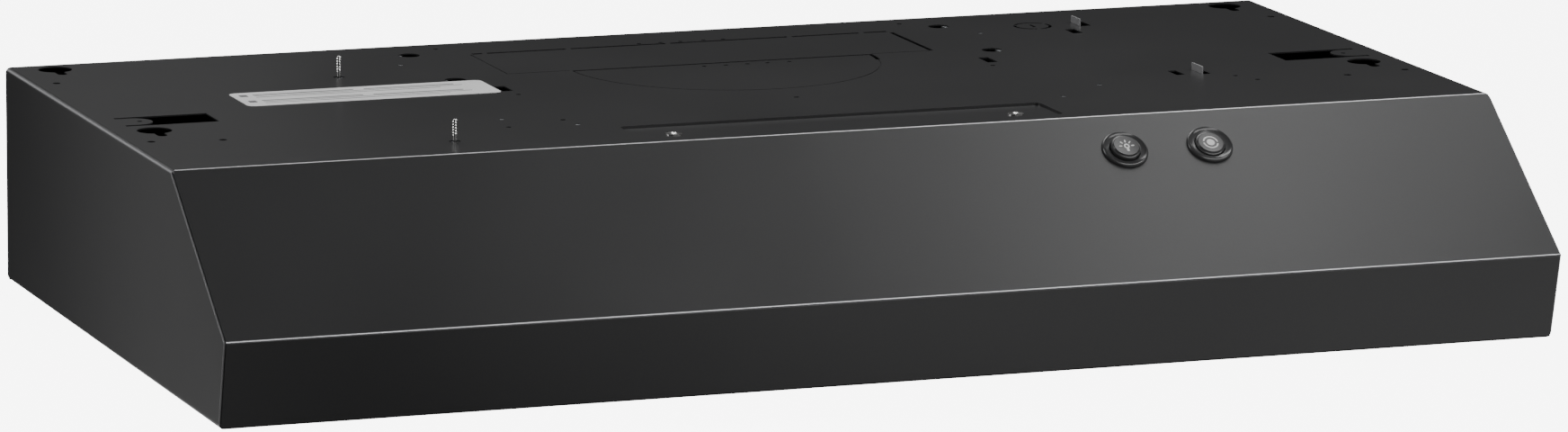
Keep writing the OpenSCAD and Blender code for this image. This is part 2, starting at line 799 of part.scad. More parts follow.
// Outline of a bulb: a neck that swells into a ball
function bulb_outline(length = 66, steps = 24) = concat([[0, 0], [cap_r, 0]],
    [for (i = [0:steps]) let (a = -60 + 150 * i / steps)
        [max(bulb_r * cos(a), 0), length - bulb_r + bulb_r * sin(a)]]);

module bulb_glasses() color("#f4f1e6")
    both_lamps() translate([0, 0, 29]) rotate_extrude() polygon(bulb_outline());

// A tray-shaped lens that hangs on two pins at its rear edge
module lamp_lens() color("#e9ecee") {
    wall = 1.8;
    low = pan_z - 1.8;
    rear = lens_axis_d - 2;
    front = 388;
    high = lens_axis_z + 2.4;
    x0 = vent_x - lens_half;
    x1 = vent_x + lens_half;
    difference() {
        block(x0, x1, rear, front, low, high);
        block(x0 + wall, x1 - wall, rear + wall, front - wall, low + wall, high + 1);
    }
    at(vent_x, lens_axis_d, lens_axis_z) for (side = [-1, 1]) scale([side, 1, 1])
        translate([lens_half - wall, 0, 0]) rotate([0, 90, 0])
            cylinder(r = pin_r, h = lamp_half - lens_half + wall);
    block(vent_x - 14, vent_x + 14, front - 4, front - 1, low - 1.6, low);
}

// ---------------------------------------------------------------- buttons

barrel_r = 9.9;
barrel_low = -11;
switch_top = -14;

module bezel(x) color("#1c1c1e")
    on_slope(x, button_w) difference() {
        union() {
            // a crowned rim
            rotate_extrude() polygon([[0, 0], [bezel_r, 0], [bezel_r, 0.8],
                [bezel_r - 0.6, 1.6], [bezel_r - 1.8, 2], [bezel_r - 3, 1.8],
                [bezel_r - 4, 1.2], [0, 1.2]]);
            translate([0, 0, barrel_low]) cylinder(r = barrel_r, h = -barrel_low);
        }
        translate([0, 0, barrel_low - 1]) cylinder(r = button_r + 0.3, h = 20);
    }

// A cap with a bevelled edge on a stem that works the switch
module button(x, out) color("#1c1c1e")
    on_slope(x, button_w) {
        rotate_extrude() polygon([[0, -6], [button_r, -6], [button_r, out - 1.4],
            [button_r - 1.8, out], [0, out]]);
        translate([0, 0, switch_top - 3]) cylinder(r = 2.5, h = -switch_top - 3);
    }

module spring(x) color("#b9bcbe")
    on_slope(x, button_w) translate([0, 0, switch_top]) difference() {
        cylinder(r = 4.6, h = -switch_top - 6);
        translate([0, 0, -1]) cylinder(r = 3.6, h = -switch_top - 4);
    }

module push_switch(x) color("#2c2c2e")
    on_slope(x, button_w) difference() {
        union() {
            translate([0, 0, switch_top]) cylinder(r = 9.9, h = barrel_low - switch_top);
            translate([-11, -9, switch_top - 16]) cube([22, 18, 16]);
            for (side = [-1, 1]) translate([side * 6 - 0.4, -3, switch_top - 24])
                cube([0.8, 6, 9]);
        }
        translate([0, 0, switch_top]) cylinder(r = 6, h = 4);
        translate([0, 0, switch_top - 8]) cylinder(r = 2.9, h = 9);
    }

module light_bezel() bezel(light_x);
module light_button() button(light_x, light_out);
module light_spring() spring(light_x);
module light_switch() push_switch(light_x);
module fan_bezel() bezel(fan_button_x);
module fan_button() button(fan_button_x, fan_out);
module fan_spring() spring(fan_button_x);
module fan_switch() push_switch(fan_button_x);

module switch_nuts() color("#2c2c2e")
    for (x = [light_x, fan_button_x]) on_slope(x, button_w) translate([0, 0, -sheet - 3])
        difference() {
            cylinder(r = 14, h = 3, $fn = 6);
            translate([0, 0, -1]) cylinder(r = barrel_r, h = 5);
        }

// ---------------------------------------------------------------- wiring

module wiring_box() color("#8f9294")
    difference() {
        block(box_x0, box_x1, box_d0, box_d1, box_z, -sheet);
        block(box_x0 + sheet, box_x1 - sheet, box_d0 + sheet, box_d1 - sheet,
            box_z - 1, through);
        for (x = [box_x0 + 8, 220, box_x1 - 8])
            at(x, box_d1, -14) rotate([90, 0, 0]) cylinder(r = 2.2, h = 6, center = true);
    }

module wiring_cover() color("#8f9294")
    difference() {
        union() {
            block(box_x0 - 1, box_x1 + 1, box_d0 - 1, box_d1 + 1, box_z - sheet, box_z);
            for (x = [box_x0 + sheet + gap, box_x1 - 2 * sheet - gap])
                block(x, x + sheet, box_d0 + 4, box_d1 - 4, box_z, box_z + 8);
        }
        for (d = [box_d0 + 14, box_d1 - 14])
            post((box_x0 + box_x1) / 2, d, box_z - 2, box_z + 1, screw_r);
    }

module wiring_cover_screws() color("#b9bcbe")
    for (d = [box_d0 + 14, box_d1 - 14]) {
        x = (box_x0 + box_x1) / 2;
        post(x, d, box_z - sheet - 2, box_z - sheet, 3.4);
        post(x, d, box_z - sheet, box_z + 5, screw_r);
    }

module ground_screw() color("#2f8f4e")
    at(box_x0 + sheet, 40, -30) rotate([0, 90, 0]) {
        cylinder(r = 4.5, h = 2.5, $fn = 6);
        cylinder(r = 2, h = 7);
    }

// A wire drawn as straight runs with round elbows
module wire(points, r)
    for (i = [0:len(points) - 1]) {
        a = points[i];
        b = points[min(i + 1, len(points) - 1)];
        run = b - a;
        at(a[0], a[1], a[2]) {
            if (i > 0 && i < len(points) - 1) sphere(r = 1.1 * r);
            if (norm(run) > 0)
                rotate([0, acos(run[2] / norm(run)), atan2(-run[1], run[0])])
                    cylinder(r = r, h = norm(run));
        }
    }

module switch_wire() color("#30303a")
    wire([[box_x1 - 8, box_d1 - 6, -14], [box_x1 - 8, 250, -14], [218, 280, -50],
        [fan_button_x + 6, 318, -54], [light_x + 6, 318, -54]], 1.6);

module lamp_wire() color("#d9d9d4")
    wire([[220, box_d1 - 6, -14], [220, 262, -14], [150, 300, -70],
        [vent_x + lamp_half + 0.3, 320, -80]], 1.6);

module motor_wire() color("#30303a")
    wire([[box_x0 + 8, box_d1 - 6, -14], [box_x0 + 8, 108, -14], [box_x0 + 8, 112, -60],
        [90, 128, -78], [vent_x + motor_r + 0.3, fan_d, -78]], 1.6);

// ---------------------------------------------------------------- brace and label

module top_brace() color("#8f9294")
    difference() {
        block(brace_x - 12, brace_x + 12, brace_screw_d[0] - 12, brace_screw_d[1] + 12,
            -12, -sheet);
        block(brace_x - 12 + sheet, brace_x + 12 - sheet, brace_screw_d[0] - 13,
            brace_screw_d[1] + 13, -13, -2 * sheet);
        for (d = brace_screw_d) drill(brace_x, d, 2);
    }

module brace_screws() color("#c9ccce")
    for (d = brace_screw_d) {
        post(brace_x, d, -2 * sheet - 2.6, -2 * sheet, 4.2);
        post(brace_x, d, -2 * sheet, brace_screw_top - 0.8, 2);
        at(brace_x, d, brace_screw_top - 0.8) cylinder(r1 = 2, r2 = 1.4, h = 0.8);
    }

module rating_label() color("#c6c8c8")
    rounded_block(-286, -140, 120, 161, 0, 0.2, 4);

// ---------------------------------------------------------------- nodes

canopy_shell();
rear_panel();
filter_pan();
filter_rail();
rail_rivets();
filter_clips();
left_filter_frame();
left_filter_mesh();
left_filter_tab();
left_filter_studs();
right_filter_frame();
right_filter_mesh();
right_filter_tab();
right_filter_studs();
fan_housing();
orifice_ring();
fan_housing_screws();
motor_bracket();
bracket_screws();
motor_grommets();
motor_screws();
motor_can();
motor_upper_bell();
motor_lower_bell();
motor_stator();
motor_windings();
motor_bearings();
motor_rotor();
motor_shaft();
fan_blade();
fan_hub();
fan_nut();
lamp_housing();
lamp_screws();
lamp_nuts();
lamp_sockets();
bulb_caps();
bulb_glasses();
lamp_lens();
light_bezel();
light_button();
light_spring();
light_switch();
fan_bezel();
fan_button();
fan_spring();
fan_switch();
switch_nuts();
wiring_box();
wiring_cover();
wiring_cover_screws();
ground_screw();
top_brace();
brace_screws();
rating_label();
motor_wire();
switch_wire();
lamp_wire();
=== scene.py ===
"""Looks of the under cabinet range hood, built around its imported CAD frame."""

import json
import math

import bmesh
import bpy
from mathutils import Euler, Matrix, Vector


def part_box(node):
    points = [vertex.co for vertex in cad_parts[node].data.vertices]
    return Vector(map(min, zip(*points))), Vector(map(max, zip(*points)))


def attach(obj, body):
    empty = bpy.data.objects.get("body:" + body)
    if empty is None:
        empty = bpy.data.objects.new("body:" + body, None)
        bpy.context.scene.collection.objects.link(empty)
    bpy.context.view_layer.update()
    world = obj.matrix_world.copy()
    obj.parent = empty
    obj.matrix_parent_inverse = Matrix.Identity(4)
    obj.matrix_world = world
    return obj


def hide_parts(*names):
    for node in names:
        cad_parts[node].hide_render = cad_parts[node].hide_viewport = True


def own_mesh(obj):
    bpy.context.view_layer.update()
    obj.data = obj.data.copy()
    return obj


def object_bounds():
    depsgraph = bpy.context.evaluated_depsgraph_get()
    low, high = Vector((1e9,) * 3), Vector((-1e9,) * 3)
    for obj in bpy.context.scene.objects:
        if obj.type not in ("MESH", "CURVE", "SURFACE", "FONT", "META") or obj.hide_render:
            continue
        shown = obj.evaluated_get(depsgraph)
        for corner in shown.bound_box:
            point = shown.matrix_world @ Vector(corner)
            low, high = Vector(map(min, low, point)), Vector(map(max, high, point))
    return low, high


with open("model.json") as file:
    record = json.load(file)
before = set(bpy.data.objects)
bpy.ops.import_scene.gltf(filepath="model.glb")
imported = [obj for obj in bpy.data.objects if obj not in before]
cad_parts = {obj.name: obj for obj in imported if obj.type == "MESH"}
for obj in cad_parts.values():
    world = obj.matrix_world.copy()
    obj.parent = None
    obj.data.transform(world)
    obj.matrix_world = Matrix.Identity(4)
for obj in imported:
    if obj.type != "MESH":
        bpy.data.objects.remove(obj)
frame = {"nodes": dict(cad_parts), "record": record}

cad_low, cad_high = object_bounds()

# -------------------- sizes
# Lengths are in millimetres, in the record's frame. A depth d is measured forward from
# the rear face, so y is BACK - d.

MM = 0.001
shell_low, shell_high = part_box("canopy_shell")
HALF_W = shell_high.x / MM
BACK = shell_high.y / MM
NOSE_D = BACK - shell_low.y / MM
RIM_Z = shell_low.z / MM
TAB_Z = shell_high.z / MM

TOP_D = 330.0
LIP_D = 417.0
NOSE_Z = -73.0
SHEET = 0.8
FOLD_R = 1.6
SIDE_FOLD_R = 3.0
RIM_W = 12.0
SEAM = 1.0
FLANGE_W = 10.0
GAP = 0.1
TILT = math.atan2(-NOSE_Z, NOSE_D - TOP_D)

VENT_X = 8.0
DUCT_R = 89.0
DUCT_LEFT = VENT_X - 127.0
DUCT_RIGHT = VENT_X + 127.0
DUCT_REAR = 38.0
CHORD_D = 108.0
KEYHOLE_X = 355.0
KEYHOLE_D = (15.0, 215.0)
TONGUE_D = 186.0
# the round cable knock-out and the inner and outer radius of its slots
RING_X = 221.0
RING_D = 46.0
RING_R = (9.4, 11.2)
# plain slots and slots with a bent-up tab: x, d, width and length
PLAIN_SLOTS = ((237, 70, 6, 14), (239, 217, 5, 14), (154, 145, 6, 16), (-136, 150, 6, 16))
TAB_SLOTS = ((250.5, 47.5, 7, 15), (254, 217, 5, 17))
# round holes: x, d and radius
HOLES = ((-132, 16, 1.5), (150, 16, 1.5), (150, 163, 1.5), (-134, 170, 1.5), (-136, 252, 1.5),
         (-171, 264, 1.5), (9, 225, 1.5), (267, 236, 1.5), (274, 251, 1.5), (-328, 253, 2.2),
         (328, 253, 2.2), (-167, 240, 1.6), (183, 240, 1.6), (-167, 60, 1.6), (183, 60, 1.6),
         (-133, 268, 1.6), (150, 268, 1.6))
BUTTON_W = 26.5
BUTTON_X = {"light": 152.5, "fan": 202.5}
BUTTON_OUT = {"light": 4.0, "fan": 2.5}
BUTTON_R = 8.3
FAN_D = 130.0
BLADE_Z = -46.0
BRACE_X = -211.5
BRACE_D = (87.0, 295.0)
BRACE_TOP = 12.0
LAMP_SCREW_D = 305.0
LAMP_SCREW_X = (VENT_X - 99.0, VENT_X + 99.0)
RECESS = (VENT_X - 122.0, VENT_X + 122.0, 281.0, 319.0)
RECESS_Z = -1.5


def at(x, d, z):
    """The row-frame point, in metres, of a place in millimetres."""
    return Vector((x, BACK - d, z)) * MM


def node_box(node):
    """A CAD node's box in millimetres: x, d and z, each from low to high."""
    low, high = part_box(node)
    return (low.x / MM, high.x / MM, BACK - high.y / MM, BACK - low.y / MM, low.z / MM, high.z / MM)


def on_slope(x, w):
    """Matrix of a frame on the slope, w down from the top fold, with +Z out and +Y up it."""
    place = at(x, TOP_D + w * math.cos(TILT), -w * math.sin(TILT))
    return Matrix.Translation(place) @ Matrix.Rotation(TILT, 4, "X")


# -------------------- mesh helpers


class Shape:
    """Vertices in metres and faces, gathered from closed parts."""

    def __init__(self):
        self.verts, self.faces = [], []

    def add(self, verts, faces):
        n = len(self.verts)
        self.verts += [tuple(v) for v in verts]
        self.faces += [[n + i for i in f] for f in faces]
        return self

    def rings(self, rings):
        """Skins a row of equal rings of points and closes it at both ends."""
        n = len(rings[0])
        faces = []
        for k in range(len(rings) - 1):
            a, b = k * n, (k + 1) * n
            faces += [[a + i, a + (i + 1) % n, b + (i + 1) % n, b + i] for i in range(n)]
        last = (len(rings) - 1) * n
        faces += [list(range(n))[::-1], [last + i for i in range(n)]]
        return self.add([p for r in rings for p in r], faces)

    def upright(self, outline, z0, z1):
        """A prism on an outline of (x, d)."""
        return self.rings([[at(x, d, z) for x, d in outline] for z in (z0, z1)])

    def across(self, outline, x0, x1):
        """A prism along X on an outline of (d, z)."""
        return self.rings([[at(x, d, z) for d, z in outline] for x in (x0, x1)])

    def deep(self, outline, d0, d1):
        """A prism along the depth on an outline of (x, z)."""
        return self.rings([[at(x, d, z) for x, z in outline] for d in (d0, d1)])

    def turned(self, profile, matrix, steps=96, closed=False):
        """A profile of (r, z) in millimetres turned about +Z of matrix. Ends at r 0 close it."""
        verts, faces, index = [], [], []
        for r, z in profile:
            if r < 1e-6:
                index.append([len(verts)] * steps)
                verts.append(matrix @ Vector((0, 0, z * MM)))
            else:
                index.append(list(range(len(verts), len(verts) + steps)))
                for k in range(steps):
                    a = 2 * math.pi * k / steps
                    verts.append(matrix @ (Vector((r * math.cos(a), r * math.sin(a), z)) * MM))
        pairs = list(zip(index, index[1:])) + ([(index[-1], index[0])] if closed else [])
        for a, b in pairs:
            for k in range(steps):
                m = (k + 1) % steps
                f = [a[k], a[m], b[m], b[k]]
                f = [v for i, v in enumerate(f) if v != f[i - 1]]
                if len(f) > 2:
                    faces.append(f)
        return self.add(verts, faces)

    def object(self, name, smooth=None):
        """The finished object, with its normals made to point outwards."""
        mesh = bpy.data.meshes.new(name)
        mesh.from_pydata(self.verts, [], self.faces)
        outwards(mesh)
        obj = bpy.data.objects.new(name, mesh)
        bpy.context.scene.collection.objects.link(obj)
        if smooth is not None:
            shade(obj, smooth)
        return obj


def outwards(mesh):
    """Turns every face's normal to point out of its closed part."""
    bm = bmesh.new()
    bm.from_mesh(mesh)
    bmesh.ops.recalc_face_normals(bm, faces=bm.faces)
    bm.to_mesh(mesh)
    bm.free()


def shade(obj, degrees):
    """Smooth shading with edges sharper than the angle kept sharp."""
    obj.data.shade_smooth()
    obj.data.set_sharp_from_angle(angle=math.radians(degrees))


def combine(obj, other, operation):
    """Applies a boolean of two closed meshes and removes the second."""
    boolean = obj.modifiers.new("combine", "BOOLEAN")
    boolean.operation, boolean.solver, boolean.object = operation, "MANIFOLD", other
    graph = bpy.context.evaluated_depsgraph_get()
    made = bpy.data.meshes.new_from_object(obj.evaluated_get(graph))
    obj.modifiers.clear()
    old, obj.data = obj.data, made
    bpy.data.meshes.remove(old)
    bpy.data.objects.remove(other)


def circle(x, d, r, steps=48):
    return [(x + r * math.cos(2 * math.pi * k / steps), d + r * math.sin(2 * math.pi * k / steps))
            for k in range(steps)]


def box(x0, x1, d0, d1):
    return [(x0, d0), (x1, d0), (x1, d1), (x0, d1)]


def arc(x, d, r, a0, a1, steps=24):
    """Points on a circle from one angle to another, in degrees."""
    return [(x + r * math.cos(math.radians(a0 + (a1 - a0) * k / steps)),
             d + r * math.sin(math.radians(a0 + (a1 - a0) * k / steps)))
            for k in range(steps + 1)]


def sector(x, d, r0, r1, a0, a1, steps=24):
    return arc(x, d, r0, a0, a1, steps) + arc(x, d, r1, a0, a1, steps)[::-1]


def rounded_box(x0, x1, d0, d1, r, steps=8):
    corners = ((x1 - r, d1 - r), (x0 + r, d1 - r), (x0 + r, d0 + r), (x1 - r, d0 + r))
    return [p for k, (x, d) in enumerate(corners) for p in arc(x, d, r, 90 * k, 90 * k + 90, steps)]


def heading(p, q):
    v = Vector(q) - Vector(p)
    return v.normalized()


def left_of(v):
    return Vector((-v.y, v.x))


def moved_left(line, t):
    """The line moved to its left by t, with its corners kept sharp."""
    out = []
    for i, p in enumerate(line):
        a = left_of(heading(line[max(i - 1, 0)], line[max(i, 1)]))
        b = left_of(heading(line[min(i, len(line) - 2)], line[min(i + 1, len(line) - 1)]))
        out.append(Vector(p) + (a + b) * t / (1 + a.dot(b)))
    return out


def rounded(line, r_left, r_right, steps=12):
    """The line with its corners rounded, by one radius at left turns and another at right."""
    out = [Vector(line[0])]
    for before, p, after in zip(line, line[1:], line[2:]):
        a, b = heading(before, p), heading(p, after)
        turn = math.atan2(a.cross(b), a.dot(b))
        r = r_left if turn > 0 else r_right
        start = Vector(p) - a * r * math.tan(abs(turn) / 2)
        centre = start + left_of(a) * math.copysign(r, turn)
        for k in range(steps + 1):
            arm = start - centre
            arm.rotate(Matrix.Rotation(turn * k / steps, 2))
            out.append(centre + arm)
    return out + [Vector(line[-1])]


def folded(line, r, t=SHEET):
    """Outline of a sheet to the left of a line, folded with an outside radius."""
    return rounded(line, r, r - t) + rounded(moved_left(line, t), r - t, r)[::-1]


# -------------------- materials

# painted highlight: the paint is lightened and made metallic along the front sheet's two
# folds and the folds along both sides of the top, standing in for their reflections: the
# axes across each fold, a point on it and the highlight's half width
FOLD_LINES = (((0, 1, 1), (0, (TOP_D - BACK) * MM, 0), 0.8),
              ((0, 1, 1), (0, (NOSE_D - BACK) * MM, -NOSE_Z * MM), 1.0),
              ((1, 0, 1), (HALF_W * MM, 0, 0), 2.1))
FOLD_CORE = 0.6
# the colour of the painted highlight along the folds
FOLD_HIGHLIGHT_COLOUR = (0.36, 0.36, 0.37, 1)
# a fainter painted highlight, a lighter grey, goes along the sides' front edges: the normals
# of the slope and of the lip, in absolute coordinates, and a point on each
FRONT_EDGES = ((Vector((0, NOSE_Z, NOSE_D - TOP_D)).normalized(), (0, (TOP_D - BACK) * MM, 0)),
               (Vector((0, NOSE_Z - RIM_Z, NOSE_D - LIP_D)).normalized(),
                (0, (NOSE_D - BACK) * MM, -NOSE_Z * MM)))
EDGE_BAND = 1.7
# the colour of the painted highlight along the sides' front edges
EDGE_HIGHLIGHT_COLOUR = (0.24, 0.24, 0.245, 1)


def feed(tree, socket, value):
    """Links a socket to another one, or sets it to a constant."""
    if isinstance(value, bpy.types.NodeSocket):
        tree.links.new(value, socket)
    else:
        socket.default_value = value


def calculated(tree, kind, operation, *values):
    """The outputs of a Math or VectorMath node that works on sockets or constants."""
    node = tree.nodes.new("ShaderNode" + kind)
    node.operation = operation
    for socket, value in zip(node.inputs, values):
        feed(tree, socket, value)
    return node.outputs


def greatest(tree, factors):
    """The greatest of some factors, point by point."""
    most = factors[0]
    for factor in factors[1:]:
        most = calculated(tree, "Math", "MAXIMUM", most, factor)["Value"]
    return most


def remapped(tree, value, from_low, from_high, to_low, to_high, fade="LINEAR"):
    """A factor carried over from one range to another."""
    remap = tree.nodes.new("ShaderNodeMapRange")
    remap.interpolation_type = fade
    sockets = {"Value": value, "From Min": from_low, "From Max": from_high,
               "To Min": to_low, "To Max": to_high}
    for name, number in sockets.items():
        feed(tree, remap.inputs[name], number)
    return remap.outputs["Result"]


def mixed(tree, factor, first, second):
    """The colour between two, by a factor."""
    mix = tree.nodes.new("ShaderNodeMix")
    mix.data_type = "RGBA"
    for name, value in (("Factor", factor), ("A", first), ("B", second)):
        feed(tree, mix.inputs[name], value)
    return mix.outputs["Result"]


def fold_highlight_mask(tree, place):
    """A factor that is one along the folds and zero away from them, where the highlight is painted."""
    size = calculated(tree, "VectorMath", "ABSOLUTE", place)["Vector"]
    factors = []
    for axes, point, half in FOLD_LINES:
        across = calculated(tree, "VectorMath", "MULTIPLY", size, axes)["Vector"]
        gap = calculated(tree, "VectorMath", "DISTANCE", across, point)["Value"]
        core = FOLD_CORE * half * MM
        factors.append(remapped(tree, gap, core, half * MM, 1.0, 0.0, "SMOOTHSTEP"))
    return greatest(tree, factors)


def edge_highlight_mask(tree, place):
    """A factor that is one along the sides' front edges, where a highlight is painted."""
    size = calculated(tree, "VectorMath", "ABSOLUTE", place)["Vector"]
    factors = []
    for normal, point in FRONT_EDGES:
        along = calculated(tree, "VectorMath", "DOT_PRODUCT", size, normal)["Value"]
        level = normal.dot(point)
        factors.append(calculated(tree, "Math", "COMPARE", along, level, EDGE_BAND * MM)["Value"])
    split = tree.nodes.new("ShaderNodeSeparateXYZ")
    feed(tree, split.inputs["Vector"], size)
    inner = (HALF_W - SHEET) * MM
    outer = calculated(tree, "Math", "GREATER_THAN", split.outputs["X"], inner)["Value"]
    return calculated(tree, "Math", "MULTIPLY", greatest(tree, factors), outer)["Value"]


def material(name, colour, roughness, metallic=0.0, **more):
    """A principled material with fine grain in its colour, roughness and surface.

    second: the other colour in the grain; grain: its size in mm; stretch: its scale along
    X, Y and Z; cloud: size in mm of rougher and smoother patches; rough_spread: how far they
    stray; bump, bump_mm: height and size of the bumps in mm; wave: the axis across grooves in
    place of the bumps, and half their pitch in mm; folds: whether highlights are painted in,
    lighter and metallic along the canopy's folds and lighter along the sides' front edges;
    sockets: further constant values.
    """
    m = bpy.data.materials.new(name)
    m.use_nodes = True
    tree = m.node_tree
    shader = tree.nodes["Principled BSDF"]
    shader.inputs["Metallic"].default_value = metallic
    for socket, value in more.get("sockets", {}).items():
        shader.inputs[socket].default_value = value
    place = tree.nodes.new("ShaderNodeTexCoord").outputs["Object"]
    spread = tree.nodes.new("ShaderNodeMapping")
    spread.inputs["Scale"].default_value = more.get("stretch", (1, 1, 1))
    feed(tree, spread.inputs["Vector"], place)

    def noise(size_mm, detail):
        texture = tree.nodes.new("ShaderNodeTexNoise")
        texture.inputs["Scale"].default_value = 1000.0 / size_mm
        texture.inputs["Detail"].default_value = detail
        feed(tree, texture.inputs["Vector"], spread.outputs["Vector"])
        return texture.outputs["Fac"]

    tint = mixed(tree, noise(more["grain"], 3.0), (*colour, 1), (*more["second"], 1))
    # painted highlight: light grey and metallic along the canopy's folds, a lighter grey along the
    # sides' front edges, standing in for reflections
    if more.get("folds"):
        near = fold_highlight_mask(tree, place)
        feed(tree, shader.inputs["Metallic"], near)
        tint = mixed(tree, near, tint, FOLD_HIGHLIGHT_COLOUR)
        tint = mixed(tree, edge_highlight_mask(tree, place), tint, EDGE_HIGHLIGHT_COLOUR)
    feed(tree, shader.inputs["Base Color"], tint)
    stray = more.get("rough_spread", 0.06)
    cloud = noise(more.get("cloud", 60.0), 2.0)
    gloss = remapped(tree, cloud, 0.3, 0.7, roughness - stray, roughness + stray)
    feed(tree, shader.inputs["Roughness"], gloss)
    bump = tree.nodes.new("ShaderNodeBump")
    bump.inputs["Distance"].default_value = more.get("bump", 0.01) * MM
    if more.get("wave"):
        axis, half_pitch = more["wave"]
        wave = tree.nodes.new("ShaderNodeTexWave")
        wave.bands_direction = axis
        # the texture repeats every 2 pi / 20 of its own units
        wave.inputs["Scale"].default_value = 1000.0 / half_pitch / 20.0 * math.pi
        wave.inputs["Distortion"].default_value = 0.4
        feed(tree, wave.inputs["Vector"], place)
        feed(tree, bump.inputs["Height"], wave.outputs["Fac"])
    else:
        height = noise(more.get("bump_mm", 1.0), more.get("bump_detail", 3.0))
        feed(tree, bump.inputs["Height"], height)
    feed(tree, shader.inputs["Normal"], bump.outputs["Normal"])
    return m


PAINT = dict(colour=(0.030, 0.030, 0.031), roughness=0.32, second=(0.022, 0.022, 0.023),
             grain=0.9, cloud=140, rough_spread=0.02, bump=0.02, bump_mm=0.8,
             sockets={"IOR": 1.5})
RECIPES = {
    "black_paint": PAINT,
    # the canopy's black paint, with highlights painted along its folds and front edges
    "fold_highlight_paint": dict(folds=True, **PAINT),
    # light metallic paint that paints a highlight on the canopy's front-edge bevels and bent-up tabs
    "edge_highlight_paint": dict(colour=(0.60, 0.60, 0.61), roughness=0.42, metallic=0.8,
        second=(0.50, 0.50, 0.51), grain=0.9, bump_mm=0.6),
    "zinc_sheet": dict(colour=(0.36, 0.37, 0.38), roughness=0.50, metallic=1.0,
        second=(0.24, 0.25, 0.26), grain=9, cloud=12, rough_spread=0.12, bump=0.03, bump_mm=4),
    "zinc_hardware": dict(colour=(0.66, 0.66, 0.64), roughness=0.34, metallic=1.0,
        second=(0.5, 0.5, 0.47), grain=1.5, cloud=5, bump_mm=0.6),
    "bright_screw": dict(colour=(0.84, 0.84, 0.83), roughness=0.22, metallic=1.0,
        second=(0.7, 0.7, 0.69), grain=1.0, cloud=4, bump=0.008, bump_mm=0.5),
    "filter_aluminium": dict(colour=(0.78, 0.79, 0.80), roughness=0.36, metallic=1.0,
        second=(0.66, 0.67, 0.68), grain=1.2, stretch=(0.06, 1, 1), cloud=20, bump=0.006, bump_mm=0.6),
    "filter_mesh": dict(colour=(0.70, 0.71, 0.72), roughness=0.38, metallic=1.0,
        second=(0.5, 0.51, 0.52), grain=3, cloud=30, bump=0.02, bump_mm=0.8),
    "filter_pack": dict(colour=(0.42, 0.43, 0.44), roughness=0.55, metallic=1.0,
        second=(0.12, 0.12, 0.13), grain=2.2, cloud=16, bump=0.5, bump_mm=2.2, bump_detail=1.0),
    "blade_aluminium": dict(colour=(0.76, 0.77, 0.78), roughness=0.30, metallic=1.0,
        second=(0.62, 0.63, 0.64), grain=1.2, stretch=(0.1, 1, 1), cloud=25, bump=0.006, bump_mm=0.6),
    "motor_steel": dict(colour=(0.34, 0.35, 0.36), roughness=0.46, metallic=1.0,
        second=(0.22, 0.23, 0.24), grain=2, cloud=18, bump=0.02, bump_mm=1.0),
    "lamination_steel": dict(colour=(0.30, 0.31, 0.33), roughness=0.5, metallic=1.0,
        second=(0.2, 0.21, 0.22), grain=1, bump=0.1, wave=("Z", 0.9)),
    "winding_copper": dict(colour=(0.72, 0.30, 0.12), roughness=0.34, metallic=1.0,
        second=(0.5, 0.18, 0.06), grain=1, bump=0.15, wave=("Z", 0.7)),
    "bronze": dict(colour=(0.60, 0.40, 0.17), roughness=0.42, metallic=1.0, second=(0.45, 0.29, 0.12),
        grain=1, bump_mm=0.4),
    "grommet_rubber": dict(colour=(0.02, 0.02, 0.02), roughness=0.75, second=(0.035, 0.035, 0.035),
        grain=1.5, bump=0.03, bump_mm=0.8),
    "lamp_reflector": dict(colour=(0.80, 0.80, 0.78), roughness=0.32, second=(0.74, 0.74, 0.72),
        grain=2, cloud=40, bump=0.02, bump_mm=1.6),
    "socket_ceramic": dict(colour=(0.80, 0.77, 0.70), roughness=0.28, second=(0.72, 0.69, 0.62),
        grain=2.5, bump_mm=1.2),
    "cap_brass": dict(colour=(0.74, 0.60, 0.34), roughness=0.30, metallic=1.0,
        second=(0.6, 0.47, 0.26), grain=1.5, bump=0.006, bump_mm=0.5),
    "bulb_glass": dict(colour=(0.90, 0.89, 0.85), roughness=0.26, second=(0.86, 0.85, 0.81), grain=8,
        bump=0.004, bump_mm=0.6, sockets={"Transmission Weight": 0.25, "IOR": 1.5}),
    "lens_plastic": dict(colour=(0.93, 0.94, 0.95), roughness=0.24, second=(0.89, 0.90, 0.91), grain=6,
        bump_mm=1.4, sockets={"Transmission Weight": 0.72, "IOR": 1.46}),
    "button_plastic": dict(colour=(0.062, 0.062, 0.063), roughness=0.22, second=(0.050, 0.050, 0.051),
        grain=1.0, cloud=8, rough_spread=0.03, bump=0.012, bump_mm=0.5),
    "switch_plastic": dict(colour=(0.03, 0.03, 0.032), roughness=0.42, second=(0.045, 0.045, 0.047),
        grain=1.6, bump=0.02, bump_mm=0.7),
    "ground_green": dict(colour=(0.05, 0.36, 0.13), roughness=0.36, metallic=0.8,
        second=(0.03, 0.26, 0.09), grain=1, bump_mm=0.5),
    "label_film": dict(colour=(0.93, 0.93, 0.93), roughness=0.42, second=(0.87, 0.87, 0.87), grain=4,
        cloud=30, bump_mm=1.0),
    "print_grey": dict(colour=(0.10, 0.10, 0.105), roughness=0.5, second=(0.22, 0.22, 0.225),
        grain=0.8, bump=0.004, bump_mm=0.5),
    "print_white": dict(colour=(0.86, 0.86, 0.85), roughness=0.40, second=(0.78, 0.78, 0.77),
        grain=0.8, bump=0.004, bump_mm=0.4),
    "wire_dark": dict(colour=(0.035, 0.035, 0.04), roughness=0.36, second=(0.05, 0.05, 0.055), grain=2,
        bump_mm=0.8),
    "wire_light": dict(colour=(0.72, 0.72, 0.69), roughness=0.36, second=(0.66, 0.66, 0.63), grain=2,
        bump_mm=0.8),
}
